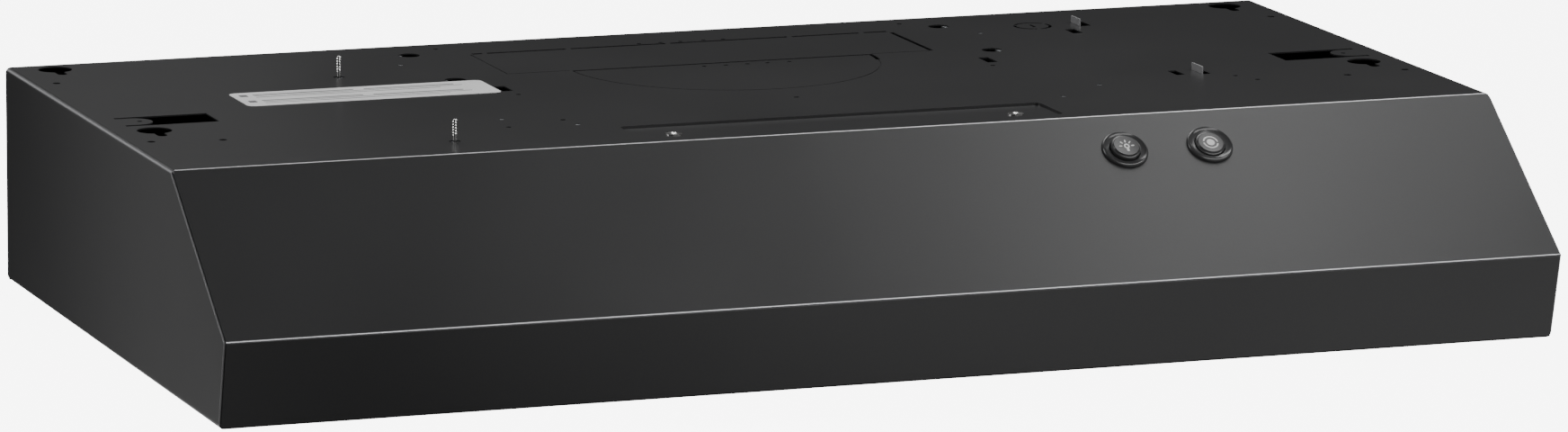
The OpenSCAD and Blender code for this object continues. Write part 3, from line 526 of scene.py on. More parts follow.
MATERIALS = {name: material(name, **recipe) for name, recipe in RECIPES.items()}


def dress(obj, name, body, slot_name, *nodes):
    """Gives a piece its material and body, and hides the CAD nodes that it stands for; the slot name
    is not used.
    """
    obj.data.materials.clear()
    obj.data.materials.append(MATERIALS[name])
    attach(obj, body)
    if nodes:
        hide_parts(*nodes)
    return obj


# every CAD node takes its slot's material, but the fan housing's screws take the darker motor steel:
# painted shade, so that they stay dark where they show through the holes in the top
for part in frame["record"]["subparts"]:
    dark = part["node"] == "fan_housing_screws"
    for entry in frame["nodes"][part["node"]].material_slots:
        entry.material = MATERIALS["motor_steel" if dark else part["material_slot"]]

# -------------------- canopy shell


def keyhole(x, d, r=9.5, seat=2.75, run=18.0):
    """Outline of a round entry with a narrow slot in front of it."""
    half = math.degrees(math.asin(seat / r))
    return (arc(x, d, r, 90 + half, 450 - half, 64)
            + arc(x, d + run - seat, seat, 0, 180, 16))


def tongue_slot(side, inner=314.0, tip=358.0, outer=366.0, r=10.0, width=3.0):
    """Outline of the slot that leaves a round-ended tongue pointing inwards."""
    rear, front = TONGUE_D - r - width, TONGUE_D + r + width
    line = [(inner, rear), (outer, rear), (outer, TONGUE_D - r), (tip, TONGUE_D - r)]
    line += [*arc(tip, TONGUE_D, r, -90, -270, 40)[1:-1], (tip, TONGUE_D + r)]
    line += [(outer, TONGUE_D + r), (outer, front), (inner, front)]
    return [(side * x, d) for x, d in line]


front_line = [(LIP_D - RIM_W, RIM_Z), (LIP_D, RIM_Z), (NOSE_D, NOSE_Z), (TOP_D, 0), (0, 0)]
girth_line = [(HALF_W - RIM_W, RIM_Z), (HALF_W, RIM_Z), (HALF_W, 0), (-HALF_W, 0),
              (-HALF_W, RIM_Z), (-HALF_W + RIM_W, RIM_Z)]
lip_dir = heading((LIP_D, RIM_Z), (NOSE_D, NOSE_Z))
slope_dir = heading((NOSE_D, NOSE_Z), (TOP_D, 0))


def front_under(past_rim, past_top):
    """The front's face moved in by the sheet, run past its ends by two lengths."""
    return moved_left([Vector((LIP_D, RIM_Z)) - lip_dir * past_rim, Vector((NOSE_D, NOSE_Z)),
                       Vector((TOP_D, 0)) + slope_dir * past_top], SHEET + GAP)


def side_plates():
    """The sides with the top between them, cut along the front and finely bevelled there."""
    plates = Shape().deep(folded(girth_line, SIDE_FOLD_R), 0, NOSE_D).object("plates")
    line = front_under(10, 10)
    outline = [*line, Vector((-1, line[2].y)), Vector((-1, line[0].y))]
    combine(plates, Shape().across(outline, -2 * HALF_W, 2 * HALF_W).object("cut"), "INTERSECT")
    bm = bmesh.new()
    bm.from_mesh(plates.data)
    bmesh.ops.dissolve_limit(bm, angle_limit=math.radians(0.1), verts=bm.verts, edges=bm.edges)
    touching, shortest = 0.01, 0.02

    def on_edge(v):
        """Whether a point lies on a side's outer face and on the front's cut."""
        p = Vector((BACK - v.co.y / MM, v.co.z / MM)) - line[1]
        off_front = min(abs(left_of(way).dot(p)) for way in (slope_dir, lip_dir))
        return abs(abs(v.co.x / MM) - HALF_W) < touching and off_front < touching

    edges = [e for e in bm.edges if all(map(on_edge, e.verts)) and e.calc_length() > shortest]
    # short edges next to these keep the bevel much finer than its offset
    bmesh.ops.bevel(bm, geom=edges, offset=0.7 * MM, segments=5, profile=0.5, affect="EDGES",
                    clamp_overlap=True)
    bm.to_mesh(plates.data)
    bm.free()
    return plates


def folded_shell():
    """The front sheet with the top, the sides, and the flanges behind the front."""
    half = HALF_W - SEAM
    shell = Shape().across(folded(front_line, FOLD_R), -half, half).object("canopy_skin")
    girth = Shape().deep(rounded(girth_line, SIDE_FOLD_R, SIDE_FOLD_R), -1, NOSE_D + 1)
    combine(shell, girth.object("cut"), "INTERSECT")
    combine(shell, side_plates(), "UNION")
    for side in (-1, 1):
        ends = sorted((side * (HALF_W - FLANGE_W), side * (HALF_W - SHEET)))
        flange = Shape().across(folded(front_under(-3, -3), FOLD_R), *ends).object("flange")
        combine(shell, flange, "UNION")
    return shell


def add_recess(shell, lean=0.3):
    """Sinks the lamp screws' recess into the top, with nearly upright walls."""
    x0, x1, d0, d1 = RECESS
    tray = Shape().upright(box(x0 - 2, x1 + 2, d0 - 1, d1 + 1), RECESS_Z - SHEET, -SHEET / 2)
    combine(shell, tray.object("tray"), "UNION")
    low = rounded_box(x0 + lean, x1 - lean, d0 + lean, d1 - lean, 3.0)
    high = rounded_box(x0 - lean, x1 + lean, d0 - lean, d1 + lean, 3.6)
    hollow = Shape().rings([[at(x, d, RECESS_Z) for x, d in low],
                            [at(x, d, -RECESS_Z) for x, d in high]])
    combine(shell, hollow.object("hollow"), "DIFFERENCE")


def through(cuts, outline):
    """Adds a cut right through the top."""
    cuts.upright(outline, -5, 5)


def cut_sides(cuts):
    """Keyholes, tongues and holes along both sides, and the holes beside the vent."""
    for x in (-KEYHOLE_X, KEYHOLE_X):
        for d in KEYHOLE_D:
            through(cuts, keyhole(x, d))
    for side in (-1, 1):
        through(cuts, tongue_slot(side))
        through(cuts, circle(side * KEYHOLE_X, TONGUE_D, 1.5, 24))
        for d in (58.0, 247.0):
            through(cuts, circle(side * 366.0, d, 2.2, 32))
        for d in (31.0, 115.0):
            through(cuts, circle(VENT_X + side * 160.5, d, 6.0))


def cut_duct(cuts):
    """Slots along the edges of the duct's knock-outs, with bridges between them."""
    bridges = [DUCT_LEFT, DUCT_LEFT + 9, DUCT_LEFT + 59, VENT_X - 8, VENT_X + 66, DUCT_RIGHT - 17,
               DUCT_RIGHT]
    half, bridge = 1.5, 1.5
    for a, b in zip(bridges, bridges[1:]):
        through(cuts, box(a + bridge, b - bridge, DUCT_REAR - half, DUCT_REAR + half))
    half = 1.25
    through(cuts, box(DUCT_RIGHT - half, DUCT_RIGHT + half, DUCT_REAR + 4, CHORD_D - 2))
    # the chord's slot, which runs a little way on around the half circle
    half = 1.2
    chord = [(VENT_X - DUCT_R, CHORD_D - half), (VENT_X + DUCT_R + half, CHORD_D - half)]
    chord += arc(VENT_X, CHORD_D, DUCT_R + half, 0, 10.8, 8)
    chord += arc(VENT_X, CHORD_D, DUCT_R - half, 10.8, 0.8, 8)
    through(cuts, [*chord, (VENT_X - DUCT_R, CHORD_D + half)])


def cut_ring(cuts):
    """Three curved slots and a short bar, which mark the cable knock-out."""
    gap = math.degrees(1.2 / 10.5)
    for a in (90, 210, 330):
        through(cuts, sector(RING_X, RING_D, *RING_R, a + gap, a + 120 - gap))
    through(cuts, box(RING_X - 0.8, RING_X + 0.8, RING_D - 4, RING_D + 4))


def cut_holes(cuts):
    """The small slots and holes between the knock-outs, and the screws' holes."""
    for x, d, w, length in (*PLAIN_SLOTS, *TAB_SLOTS):
        through(cuts, rounded_box(x - w / 2, x + w / 2, d - length / 2, d + length / 2, 0.6, 4))
    for x, d, r in HOLES:
        through(cuts, circle(x, d, r, 32))
    # two rows of dots in front of the duct's chord and behind its rear edge
    for row_d, row in ((CHORD_D + 8, (-14, -1, 12, 24, 37)), (DUCT_REAR - 4, (-24, -11, 1, 15, 27))):
        for x in row:
            through(cuts, circle(VENT_X + x, row_d, 1.4, 20))
    for d in BRACE_D:
        through(cuts, circle(BRACE_X, d, 3.2, 40))
    for x in LAMP_SCREW_X:
        through(cuts, circle(x, LAMP_SCREW_D, 2.0, 32))


def score_lines():
    """Fine lines around the duct's knock-outs where no slot runs."""
    half, depth = 0.4, -0.35
    rear_of_chord = (CHORD_D - 2.4, CHORD_D - 1.6)
    scores = Shape()
    scores.upright(sector(VENT_X, CHORD_D, DUCT_R - half, DUCT_R + half, 11.5, 180, 96), depth, 5)
    for outline in (box(DUCT_LEFT - half, DUCT_LEFT + half, DUCT_REAR + 2, CHORD_D - 1.6),
                    box(DUCT_LEFT + 0.41, VENT_X - DUCT_R - 1.3, *rear_of_chord),
                    box(VENT_X + DUCT_R + 1.6, DUCT_RIGHT - 1.26, *rear_of_chord)):
        scores.upright(outline, depth, 5)
    return scores


def canopy():
    """The folded shell with every cut in its top."""
    shell = folded_shell()
    add_recess(shell)
    cuts = Shape()
    cut_sides(cuts)
    cut_duct(cuts)
    cut_ring(cuts)
    cut_holes(cuts)
    # room for the rear panel between the turned-in rims
    cuts.deep(box(-HALF_W + SHEET, HALF_W - SHEET, RIM_Z - 1, RIM_Z + 6), -1, SHEET + GAP)
    combine(shell, cuts.object("cuts"), "DIFFERENCE")
    combine(shell, score_lines().object("scores"), "DIFFERENCE")
    bores = Shape()
    for x in BUTTON_X.values():
        bores.turned([(0, -5), (10, -5), (10, 5), (0, 5)], on_slope(x, BUTTON_W), 64)
    combine(shell, bores.object("bores"), "DIFFERENCE")
    tabs = Shape()
    for x, d, w, length in TAB_SLOTS:
        tabs.upright(box(x - w / 2, x - w / 2 + SHEET, d - length / 2 + 1, d + length / 2 - 1),
                     -SHEET, TAB_Z)
    combine(shell, tabs.object("tabs"), "UNION")
    shade(shell, 22)
    weight = shell.modifiers.new("weight", "WEIGHTED_NORMAL")
    weight.keep_sharp = True
    return shell


def paint_edge_highlights(shell):
    """Gives the bevels along the sides' front edges and the bent-up tabs a light metallic paint, a
    painted highlight.
    """
    shell.data.materials.append(MATERIALS["edge_highlight_paint"])
    for face in shell.data.polygons:
        outer = abs(face.center.x) > (HALF_W - SEAM) * MM
        oblique = 0.2 < abs(face.normal.x) < 0.97 and face.normal.y < -0.15
        on_tab = face.center.z > 0.3 * MM
        if outer and oblique or on_tab:
            face.material_index = 1


# the canopy's paint has highlights painted along its folds, front edges and tabs
paint_edge_highlights(dress(canopy(), "fold_highlight_paint", "canopy", "black_paint", "canopy_shell"))

# -------------------- buttons


def arc_profile(r0, z0, r1, z1, bulge, steps=8):
    """Points of a curved profile between two, bulging to the left of its heading."""
    a, b = Vector((r0, z0)), Vector((r1, z1))
    n = left_of((b - a).normalized())
    return [tuple(a.lerp(b, k / steps) + n * bulge * math.sin(math.pi * k / steps))
            for k in range(steps + 1)]


def bezel(name):
    """A dished glossy rim with its threaded barrel."""
    profile = [(8.6, -11.0), (8.6, 0.4), (8.8, 0.75), (9.1, 0.8)]
    profile += arc_profile(9.1, 0.8, 11.9, 1.95, -0.22)[1:]
    profile += arc_profile(11.9, 1.95, 13.0, 0.5, 0.32)[1:]
    profile += [(13.0, 0.0), (9.9, 0.0)]
    for k in range(9):
        z = -0.9 - k * 1.1
        profile += [(9.9, z), (9.55, z - 0.5)]
    profile += [(9.9, -11.0)]
    ring = Shape().turned(profile, on_slope(BUTTON_X[name], BUTTON_W), 96, closed=True)
    return ring.object(f"{name}_bezel_rim", 40)


def cap(name):
    """A button cap with an eased edge and a slightly dished face on its stem."""
    out = BUTTON_OUT[name]
    profile = [(0, -11.0), (2.5, -11.0), (2.5, -6.0), (BUTTON_R, -6.0), (BUTTON_R, out - 1.3)]
    profile += arc_profile(BUTTON_R, out - 1.3, 7.0, out, 0.36, 6)[1:]
    profile += [(6.0, out - 0.05), (4.0, out - 0.1), (2.0, out - 0.13), (0, out - 0.14)]
    piece = Shape().turned(profile, on_slope(BUTTON_X[name], BUTTON_W), 96)
    return piece.object(f"{name}_button_cap", 40)


def print_on(name, outlines):
    """Closed raised print on a button's face, from outlines of (x, y) on the slope."""
    m = on_slope(BUTTON_X[name], BUTTON_W)
    out = BUTTON_OUT[name]
    shape = Shape()
    for outline in outlines:
        shape.rings([[m @ (Vector((x, y, z)) * MM) for x, y in outline]
                     for z in (out - 0.3, out - 0.02)])
    return shape.object(f"{name}_button_print")


def stroke(x0, y0, x1, y1, w):
    """Outline of a bar with round ends."""
    a = math.degrees(math.atan2(y1 - y0, x1 - x0))
    return arc(x1, y1, w / 2, a - 90, a + 90, 8) + arc(x0, y0, w / 2, a + 90, a + 270, 8)


def ring_halves(x, y, rx0, ry0, rx1, ry1, gap, turn, steps=24):
    """A ring as two closed halves, with a gap between them in degrees."""
    halves = []
    for start in (turn, turn + 180):
        angles = [math.radians(start + gap / 2 + (180 - gap) * k / steps) for k in range(steps + 1)]
        halves.append([(x + rx0 * math.cos(a), y + ry0 * math.sin(a)) for a in angles]
                      + [(x + rx1 * math.cos(a), y + ry1 * math.sin(a)) for a in reversed(angles)])
    return halves


bulb_print = ring_halves(0.0, -0.5, 0.75, 0.85, 1.6, 1.75, 0.5, 90)
bulb_print += [[(-0.8, -1.95), (0.8, -1.95), (0.6, -4.1), (-0.6, -4.1)]]
for angle in (2, 48, 90, 132, 178):
    c, s = math.cos(math.radians(angle)), math.sin(math.radians(angle))
    bulb_print.append(stroke(2.9 * c, 2.9 * s - 0.4, 4.1 * c, 4.1 * s - 0.4, 0.7))
fan_print = ring_halves(0, 0, 3.6, 3.6, 4.4, 4.4, 18, -8) + [circle(0, 0, 2.3, 32)]

for name, outlines in (("light", bulb_print), ("fan", fan_print)):
    dress(bezel(name), "button_plastic", "canopy", "button_plastic", f"{name}_bezel")
    dress(cap(name), "button_plastic", f"{name}_push", "button_plastic", f"{name}_button")
    dress(print_on(name, outlines), "print_white", f"{name}_push", "label_film")


def coil(name, r, wire, z0, z1, turns, matrix):
    """A coil spring of round wire between two heights, with closed end turns."""
    steps, sides, end = int(turns * 24), 8, 0.8
    rings = []
    for k in range(steps + 1):
        a = 2 * math.pi * turns * k / steps
        rise = min(1.0, max(0.0, (k / steps * turns - end) / (turns - 2 * end)))
        z = z0 + wire + (z1 - z0 - 2 * wire) * rise
        centre = Vector((r * math.cos(a), r * math.sin(a), z))
        out = Vector((math.cos(a), math.sin(a), 0))
        ring = []
        for i in range(sides):
            b = 2 * math.pi * i / sides
            arm = out * math.cos(b) + Vector((0, 0, 1)) * math.sin(b)
            ring.append(matrix @ ((centre + arm * wire) * MM))
        rings.append(ring)
    return Shape().rings(rings).object(name, 60)


for name in ("light", "fan"):
    matrix = on_slope(BUTTON_X[name], BUTTON_W)
    spring = coil(f"{name}_coil_spring", 4.1, 0.35, -14.0, -6.05, 6, matrix)
    dress(spring, "zinc_hardware", "canopy", "zinc_hardware", f"{name}_spring")
    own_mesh(spring)

# thin webs close the scored lines around the rear panel's knock-outs
webs = Shape()
webs.deep(box(DUCT_LEFT - 1, DUCT_RIGHT + 1, -96, -11), 0.25, 0.55)
webs.deep(circle(RING_X, -40, 12.0), 0.25, 0.55)
dress(webs.object("rear_knockout_webs"), "black_paint", "canopy", "black_paint")

# -------------------- label and screws on top


def label():
    """A thin plate with bars for its lines of print."""
    x0, x1, d0, d1, _, _ = node_box("rating_label")
    plate = Shape().upright(rounded_box(x0, x1, d0, d1, 4.0), 0.0, 0.16)
    plate = plate.object("label_plate")
    marks = Shape()
    for row in (d0 + 7.0, d0 + 25.0):
        marks.upright(rounded_box(x0 + 4, x0 + 8.5, row, row + 5.5, 0.8, 4), 0.1, 0.2)
        for k, (start, end) in enumerate(((12, 70), (12, 132), (12, 118))):
            d = row + k * 3.9
            marks.upright(box(x0 + start, x0 + end, d, d + (1.7 if k == 0 else 1.0)), 0.1, 0.2)
        marks.upright(box(x0 + 76, x0 + 128, row, row + 1.7), 0.1, 0.2)
    return plate, marks.object("label_marks")


plate, marks = label()
dress(plate, "label_film", "canopy", "label_film", "rating_label")
dress(marks, "print_grey", "canopy", "label_film")


def threaded(shape, x, d, z0, z1, r, pitch, depth, tip=0.8, sides=28):
    """An upright threaded rod with a blunt cone at its top."""
    steps = int((z1 - z0) / pitch * 8)
    rings = []
    for k in range(steps + 1):
        z = z0 + (z1 - z0) * k / steps
        ring = []
        for i in range(sides):
            a = 2 * math.pi * i / sides
            phase = (z / pitch - i / sides) % 1.0
            cut = depth * abs(2 * phase - 1)
            fade = min(1.0, (z1 - z) / tip)
            rr = (r - cut) * (0.62 + 0.38 * fade)
            ring.append(at(x + rr * math.cos(a), d + rr * math.sin(a), z))
        rings.append(ring)
    return shape.rings(rings)


def cross_head(name, centre, head, cross_w, cross_l, depth):
    """A turned screw head with a cross recess. head is its profile of (r, z)."""
    piece = Shape().turned(head, Matrix.Translation(centre), 48).object(name)
    top = max(z for r, z in head)
    for w, length in ((cross_w, cross_l), (cross_l, cross_w)):
        slot_cut = Shape().rings([[centre + Vector((sx * w * s, sy * length * s, z)) * MM
                                   for sx, sy in ((-0.5, -0.5), (0.5, -0.5), (0.5, 0.5), (-0.5, 0.5))]
                                  for s, z in ((0.6, top - depth), (1.15, top + 0.5))])
        combine(piece, slot_cut.object("slot"), "DIFFERENCE")
    return piece


def joined(name, objects):
    """One object made of several meshes."""
    shape = Shape()
    for o in objects:
        shape.add([v.co for v in o.data.vertices], [list(p.vertices) for p in o.data.polygons])
        bpy.data.objects.remove(o)
    return shape.object(name)


rods = Shape()
for d in BRACE_D:
    # a plain neck, the thread above it and the head below the top
    place = Matrix.Translation(at(BRACE_X, d, 0))
    rods.turned([(0, -1.7), (1.05, -1.7), (1.05, 3.4), (0, 3.4)], place, 20)
    threaded(rods, BRACE_X, d, 3.3, BRACE_TOP, 1.55, 1.5, 0.5)
    rods.turned([(0, -4.2), (3.4, -4.2), (4.2, -3.6), (4.2, -1.6), (0, -1.6)], place, 32)
dress(rods.object("brace_screw_threads", 50), "bright_screw", "canopy", "bright_screw", "brace_screws")

heads = []
for x in LAMP_SCREW_X:
    profile = [(0, -9), (1.6, -9), (2.0, -8.4), (2.0, RECESS_Z), (4.5, RECESS_Z),
               (4.5, RECESS_Z + 0.7)]
    profile += arc_profile(4.5, RECESS_Z + 0.7, 0, RECESS_Z + 2.2, 0.45, 8)[1:]
    heads.append(cross_head("head", at(x, LAMP_SCREW_D, 0), profile, 0.9, 4.6, 1.2))
screws = joined("lamp_screw_heads", heads)
shade(screws, 35)
dress(screws, "bright_screw", "canopy", "bright_screw", "lamp_screws")

# -------------------- filters


def expanded(x0, x1, d0, d1, z, thick, px, pd, relief, hole=(0.66, 0.62)):
    """A sheet of diamond openings between four edges, one closed mesh.

    px and pd: pitch along X and along the depth; hole: the openings' share of each.
    """
    index, verts, faces = {}, [], []

    def vert(x, d, dz, side):
        key = (round(x, 3), round(d, 3), side)
        if key not in index:
            index[key] = len(verts)
            verts.append(at(x, d, z + dz + side * thick / 2))
        return index[key]

    nx, nd = int((x1 - x0) / px), int((d1 - d0) / pd)
    ox, od = (x0 + x1 - nx * px) / 2, (d0 + d1 - nd * pd) / 2
    centres = [(ox + (i + 0.5) * px, od + (j + 0.5) * pd) for i in range(nx) for j in range(nd)]
    centres += [(ox + i * px, od + j * pd) for i in range(1, nx) for j in range(1, nd)]
    edges = {}
    for cx, cd in centres:
        ring = ((px / 2, 0), (0, pd / 2), (-px / 2, 0), (0, -pd / 2))
        lift = (relief, -relief, relief, -relief)
        for k in range(4):
            m = (k + 1) % 4
            quads = {}
            for side in (1, -1):
                a = vert(cx + ring[k][0], cd + ring[k][1], lift[k], side)
                b = vert(cx + ring[m][0], cd + ring[m][1], lift[m], side)
                c = vert(cx + ring[m][0] * hole[0], cd + ring[m][1] * hole[1], lift[m] * 0.9, side)
                e = vert(cx + ring[k][0] * hole[0], cd + ring[k][1] * hole[1], lift[k] * 0.9, side)
                quads[side] = (a, b, c, e)
            a, b, c, e = quads[1]
            p, q, r, s = quads[-1]
            faces += [[a, b, c, e], [s, r, q, p], [e, c, r, s]]
            edge = tuple(sorted((a, b)))
            if edge in edges:
                edges[edge] = None
            else:
                edges[edge] = [b, a, p, q]
    faces += [f for f in edges.values() if f]
    return Shape().add(verts, faces)


def corrugated(x0, x1, d0, d1, z, margin=0.4, folds=64, wave=0.35, half=0.3):
    """A pleated sheet a little inside four edges; half is half its thickness."""
    waves = []
    for k in range(folds + 1):
        d = d0 + margin + (d1 - d0 - 2 * margin) * k / folds
        waves.append((d, z + wave * (1 if k % 2 else -1)))
    outline = [(d, z + half) for d, z in waves] + [(d, z - half) for d, z in reversed(waves)]
    return Shape().across(outline, x0 + margin, x1 - margin)


for side in ("left", "right"):
    *edges, z0, z1 = node_box(f"{side}_filter_mesh")
    middle = (z0 + z1) / 2
    grid = expanded(*edges, middle - 1.0, 0.7, 13.0, 6.5, 0.45)
    dress(grid.object(f"{side}_filter_grid"), "filter_mesh", f"{side}_filter", "filter_mesh",
          f"{side}_filter_mesh")
    pack = corrugated(*edges, middle)
    dress(pack.object(f"{side}_filter_pack"), "filter_pack", f"{side}_filter", "filter_mesh")

# -------------------- fan and lamps


def blades(count=5, steps_r=10, steps_c=10, thick=1.3, root=23.5, tip=85.6, reach=9.8):
    """Cambered blades on a round plate, joined to one closed mesh.

    reach: how far a blade stands above and below the plate's middle before its camber.
    """
    centre = Matrix.Translation(at(VENT_X, FAN_D, BLADE_Z))
    profile = [(4.0, -1), (28, -1), (28.4, 0), (28, 1), (4.0, 1)]
    plate = Shape().turned(profile, centre, 96, closed=True).object("fan_blade_wheel")
    for n in range(count):
        turn = centre @ Matrix.Rotation(2 * math.pi * n / count, 4, "Z")
        grid = []
        for i in range(steps_r + 1):
            t = i / steps_r
            r = root + (tip - root) * t
            width = 0.52 + 0.10 * math.sin(math.pi * min(t * 1.1, 1))
            pitch = math.radians(31 - 7 * t)
            row = []
            for j in range(steps_c + 1):
                u = j / steps_c * 2 - 1
                # the outline's corners are drawn in at the tip
                rr = r - (3.5 * t * u ** 4)
                a = u * width / 2 * (30 / max(r, 30) + 0.42)
                half_chord = r * math.sin(a)
                lift = half_chord * math.tan(pitch)
                camber = 1.8 * (1 - u * u)
                row.append(Vector((rr * math.cos(a), rr * math.sin(a),
                                   max(-reach, min(reach, lift)) + camber)))
            grid.append(row)
        top, low = [], []
        for i in range(steps_r + 1):
            for j in range(steps_c + 1):
                e = grid[min(i + 1, steps_r)][j] - grid[max(i - 1, 0)][j]
                f = grid[i][min(j + 1, steps_c)] - grid[i][max(j - 1, 0)]
                normal = e.cross(f).normalized() * thick / 2
                top.append(turn @ ((grid[i][j] + normal) * MM))
                low.append(turn @ ((grid[i][j] - normal) * MM))
        w, count_v = steps_c + 1, len(top)
        faces = []
        for i in range(steps_r):
            for j in range(steps_c):
                q = [i * w + j, i * w + j + 1, (i + 1) * w + j + 1, (i + 1) * w + j]
                faces += [q, [count_v + v for v in reversed(q)]]
        rim = [*range(w), *(i * w + steps_c for i in range(1, steps_r + 1)),
               *(steps_r * w + j for j in range(steps_c - 1, -1, -1)),
               *(i * w for i in range(steps_r - 1, 0, -1))]
        for a, b in zip(rim, rim[1:] + rim[:1]):
            faces.append([b, a, count_v + a, count_v + b])
        combine(plate, Shape().add(top + low, faces).object("blade"), "UNION")
    shade(plate, 35)
    return plate


dress(blades(), "blade_aluminium", "fan", "blade_aluminium", "fan_blade")


def lens():
    """A ribbed tray lens on two pins with a finger lip."""
    wall, half, ribs = 1.8, 115.0, 30
    x0, x1 = VENT_X - half, VENT_X + half
    rear, front = 302.0, 388.0
    bottom, top = -109.8, -102.6
    outline = [(rear, top), (rear, bottom + 1.2), (rear + 0.4, bottom + 0.5),
               (rear + 1.2, bottom + 0.1)]
    for k in range(ribs * 2 + 1):
        d = rear + 3 + (front - rear - 9) * k / (ribs * 2)
        outline.append((d, bottom + (0.0 if k % 2 else 0.55)))
    outline += [(front - 1.2, bottom + 0.1), (front - 0.4, bottom + 0.5), (front, bottom + 1.2),
                (front, top)]
    piece = Shape().across(outline, x0, x1).object("lamp_lens_cover")
    inner = Shape().upright(rounded_box(x0 + wall, x1 - wall, rear + wall, front - wall, 2.0),
                            bottom + wall, top + 1)
    combine(piece, inner.object("inner"), "DIFFERENCE")
    # the pins turn on the lens's joint axis
    start, end, pin_r = half - wall / 2, 120.0, 1.5
    profile = [(0, start), (pin_r, start), (pin_r, end - 0.3), (pin_r - 0.3, end), (0, end)]
    for side in (-1, 1):
        place = Matrix.Translation(at(VENT_X, 304, -105)) @ Matrix.Rotation(side * math.pi / 2, 4, "Y")
        combine(piece, Shape().turned(profile, place, 32).object("pin"), "UNION")
    outline = [(front - 4, bottom + 0.7), (front - 4, bottom - 1.0), (front - 3.4, bottom - 1.6),
               (front - 1.6, bottom - 1.6), (front - 1, bottom - 1.0), (front - 1, bottom + 0.7)]
    lip = Shape().across(outline, VENT_X - 14, VENT_X + 14)
    combine(piece, lip.object("lip"), "UNION")
    shade(piece, 20)
    return piece


dress(lens(), "lens_plastic", "lens", "lens_plastic", "lamp_lens")


def bulb_parts():
    """Threaded caps and round glasses of the two bulbs."""
    caps, glasses = Shape(), Shape()
    half, wall, base, length, glass_r, steps = 120.0, 0.8, 29.0, 66.0, 24.0, 24
    for side in (-1, 1):
        place = (Matrix.Translation(at(VENT_X + side * (half - wall), 345, -62))
                 @ Matrix.Rotation(-side * math.pi / 2, 4, "Y"))
        profile = [(0, 3.0), (4.5, 3.0), (5.0, 4.6), (10.5, 6.4), (12.0, 7.0)]
        for k in range(5):
            z = 8.0 + k * 3.4
            profile += [(12.0, z), (12.7, z + 0.8), (12.9, z + 1.5), (12.7, z + 2.2), (12.0, z + 2.9)]
        profile += [(12.6, base - 2), (12.6, base), (0, base)]
        caps.turned(profile, place, 48)
        outline = [(0, base), (12.4, base), (12.5, base + 2)]
        for k in range(steps + 1):
            a = math.radians(-52 + 142 * k / steps)
            r = glass_r * math.cos(a) if k < steps else 0.0
            outline.append((r, base + length - glass_r + glass_r * math.sin(a)))
        glasses.turned(outline, place, 64)
    return caps.object("bulb_screw_caps", 50), glasses.object("bulb_round_glasses", 50)


caps, glasses = bulb_parts()
dress(caps, "cap_brass", "canopy", "cap_brass", "bulb_caps")
dress(glasses, "bulb_glass", "canopy", "bulb_glass", "bulb_glasses")

# -------------------- floor, light and camera


def floor(half=30.0, drop=0.30):
    """A plain floor below the object; it lights nothing and shows in no reflection."""
    z = cad_low.z - drop
    mesh = bpy.data.meshes.new("floor")
    mesh.from_pydata([(-half, -half, z), (half, -half, z), (half, half, z), (-half, half, z)],
                     [], [[0, 1, 2, 3]])
    obj = bpy.data.objects.new("floor", mesh)
    bpy.context.scene.collection.objects.link(obj)
    m = bpy.data.materials.new("floor")
    m.use_nodes = True
    nodes, links = m.node_tree.nodes, m.node_tree.links
    shader = nodes["Principled BSDF"]
    shader.inputs["Base Color"].default_value = (0.86, 0.86, 0.86, 1)
    shader.inputs["Roughness"].default_value = 0.9
    shader.inputs["Specular IOR Level"].default_value = 0.0
    shader.inputs["Emission Color"].default_value = (1, 1, 1, 1)
    shader.inputs["Emission Strength"].default_value = 7.0
    # seen from below it lets the view through, so the underside can be looked at
    clear = nodes.new("ShaderNodeBsdfTransparent")
    side = nodes.new("ShaderNodeNewGeometry")
    mix = nodes.new("ShaderNodeMixShader")
    links.new(side.outputs["Backfacing"], mix.inputs["Fac"])
    links.new(shader.outputs["BSDF"], mix.inputs[1])
    links.new(clear.outputs["BSDF"], mix.inputs[2])
    links.new(mix.outputs["Shader"], nodes["Material Output"].inputs["Surface"])
    mesh.materials.append(m)
    obj.visible_glossy = obj.visible_diffuse = False


def lamp(name, place, target, width, height, watts):
    """A soft rectangular studio light."""
    data = bpy.data.lights.new(name, "AREA")
    data.shape, data.size, data.size_y, data.energy = "RECTANGLE", width, height, watts
    obj = bpy.data.objects.new(name, data)
    bpy.context.scene.collection.objects.link(obj)
    obj.location = place
    obj.rotation_euler = (Vector(target) - Vector(place)).to_track_quat("-Z", "Y").to_euler()
    obj.visible_camera = False


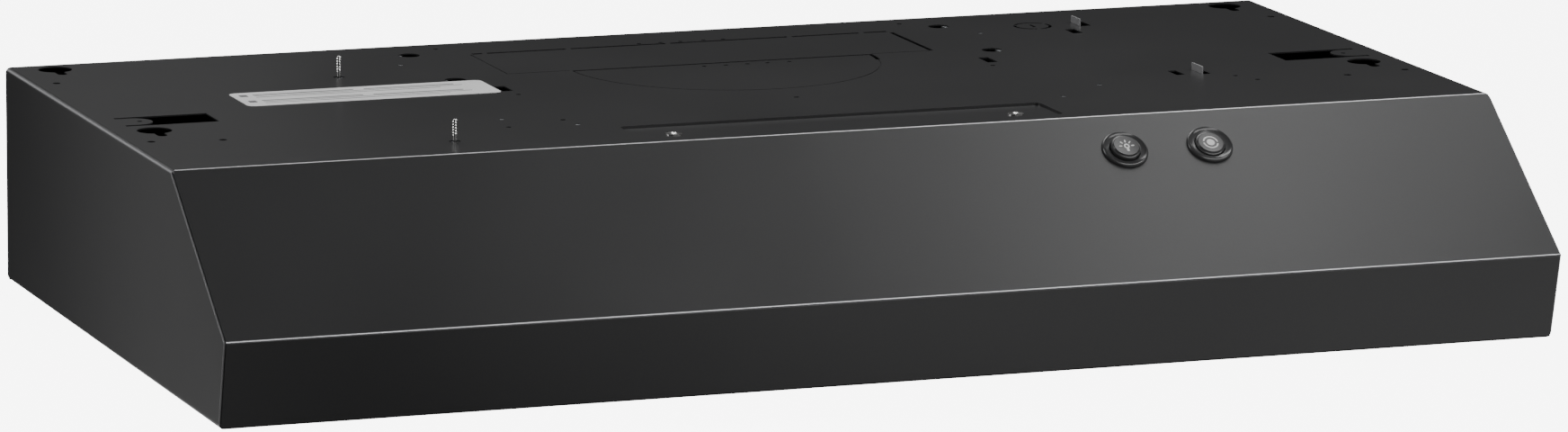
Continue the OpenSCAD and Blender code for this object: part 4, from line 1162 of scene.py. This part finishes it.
floor()
world = bpy.data.worlds.new("studio")
world.use_nodes = True
world.node_tree.nodes["Background"].inputs["Color"].default_value = (0.038, 0.038, 0.038, 1)
bpy.context.scene.world = world

# each light lies where one face or fold of the canopy mirrors it towards the camera
lamp("overhead", (0.73, -0.15, 1.20), (0.73, -0.15, 0), 0.16, 1.6, 3.2)
lamp("overhead_left", (0.55, -0.15, 1.20), (0.55, -0.15, 0), 0.3, 1.6, 0.7)
lamp("top_fold_strip", (0.40, 0.83, 1.44), (-0.2, -0.215, 0), 2.6, 0.5, 20)
lamp("nose_fold_strip", (0.68, -1.67, 1.23), (0, -0.313, -0.07), 3.0, 0.5, 26)
lamp("rear_left", (-0.72, 1.35, 0.38), (-0.38, -0.1, 0), 0.4, 0.4, 0.4)
lamp("left", (-1.9, 0.55, 1.0), (-0.38, -0.26, -0.05), 1.0, 1.0, 15)
lamp("left_card", (-0.59, 0.30, -0.10), (-0.38, -0.3, -0.06), 0.16, 0.6, 0.115)
lamp("behind_left", (0.12, 1.85, 0.36), (-0.3, -0.05, 0), 0.4, 0.3, 0.055)
lamp("front_low", (0.48, -0.74, -0.40), (0.3, -0.31, -0.1), 1.1, 0.3, 0.9)
lamp("front_low_left", (-0.30, -0.72, -0.39), (-0.36, -0.31, -0.1), 0.2, 0.3, 0.08)
# these reach only the faces that the camera does not see
lamp("under", (0, 0.20, -0.41), (0, 0.20, 0), 1.6, 1.0, 3.5)
lamp("rear", (0.1, 1.0, -0.20), (0, 0.1, -0.06), 0.8, 0.3, 1.5)
lamp("right", (1.4, -0.2, -0.12), (0.38, -0.1, -0.06), 0.6, 0.4, 1.2)

camera_data = bpy.data.cameras.new("camera")
camera_data.sensor_width = 36.0
camera_data.lens = 194.34
camera_data.clip_start, camera_data.clip_end = 0.05, 100.0
camera = bpy.data.objects.new("camera", camera_data)
bpy.context.scene.collection.objects.link(camera)
# its tilt up from straight down, its roll and its heading, in degrees
turn = Euler([math.radians(angle) for angle in (79.1423, -0.4203, -20.2606)]).to_matrix().to_4x4()
camera.matrix_world = Matrix.Translation((-1.5925, -4.4115, 0.8137)) @ turn
bpy.context.scene.camera = camera
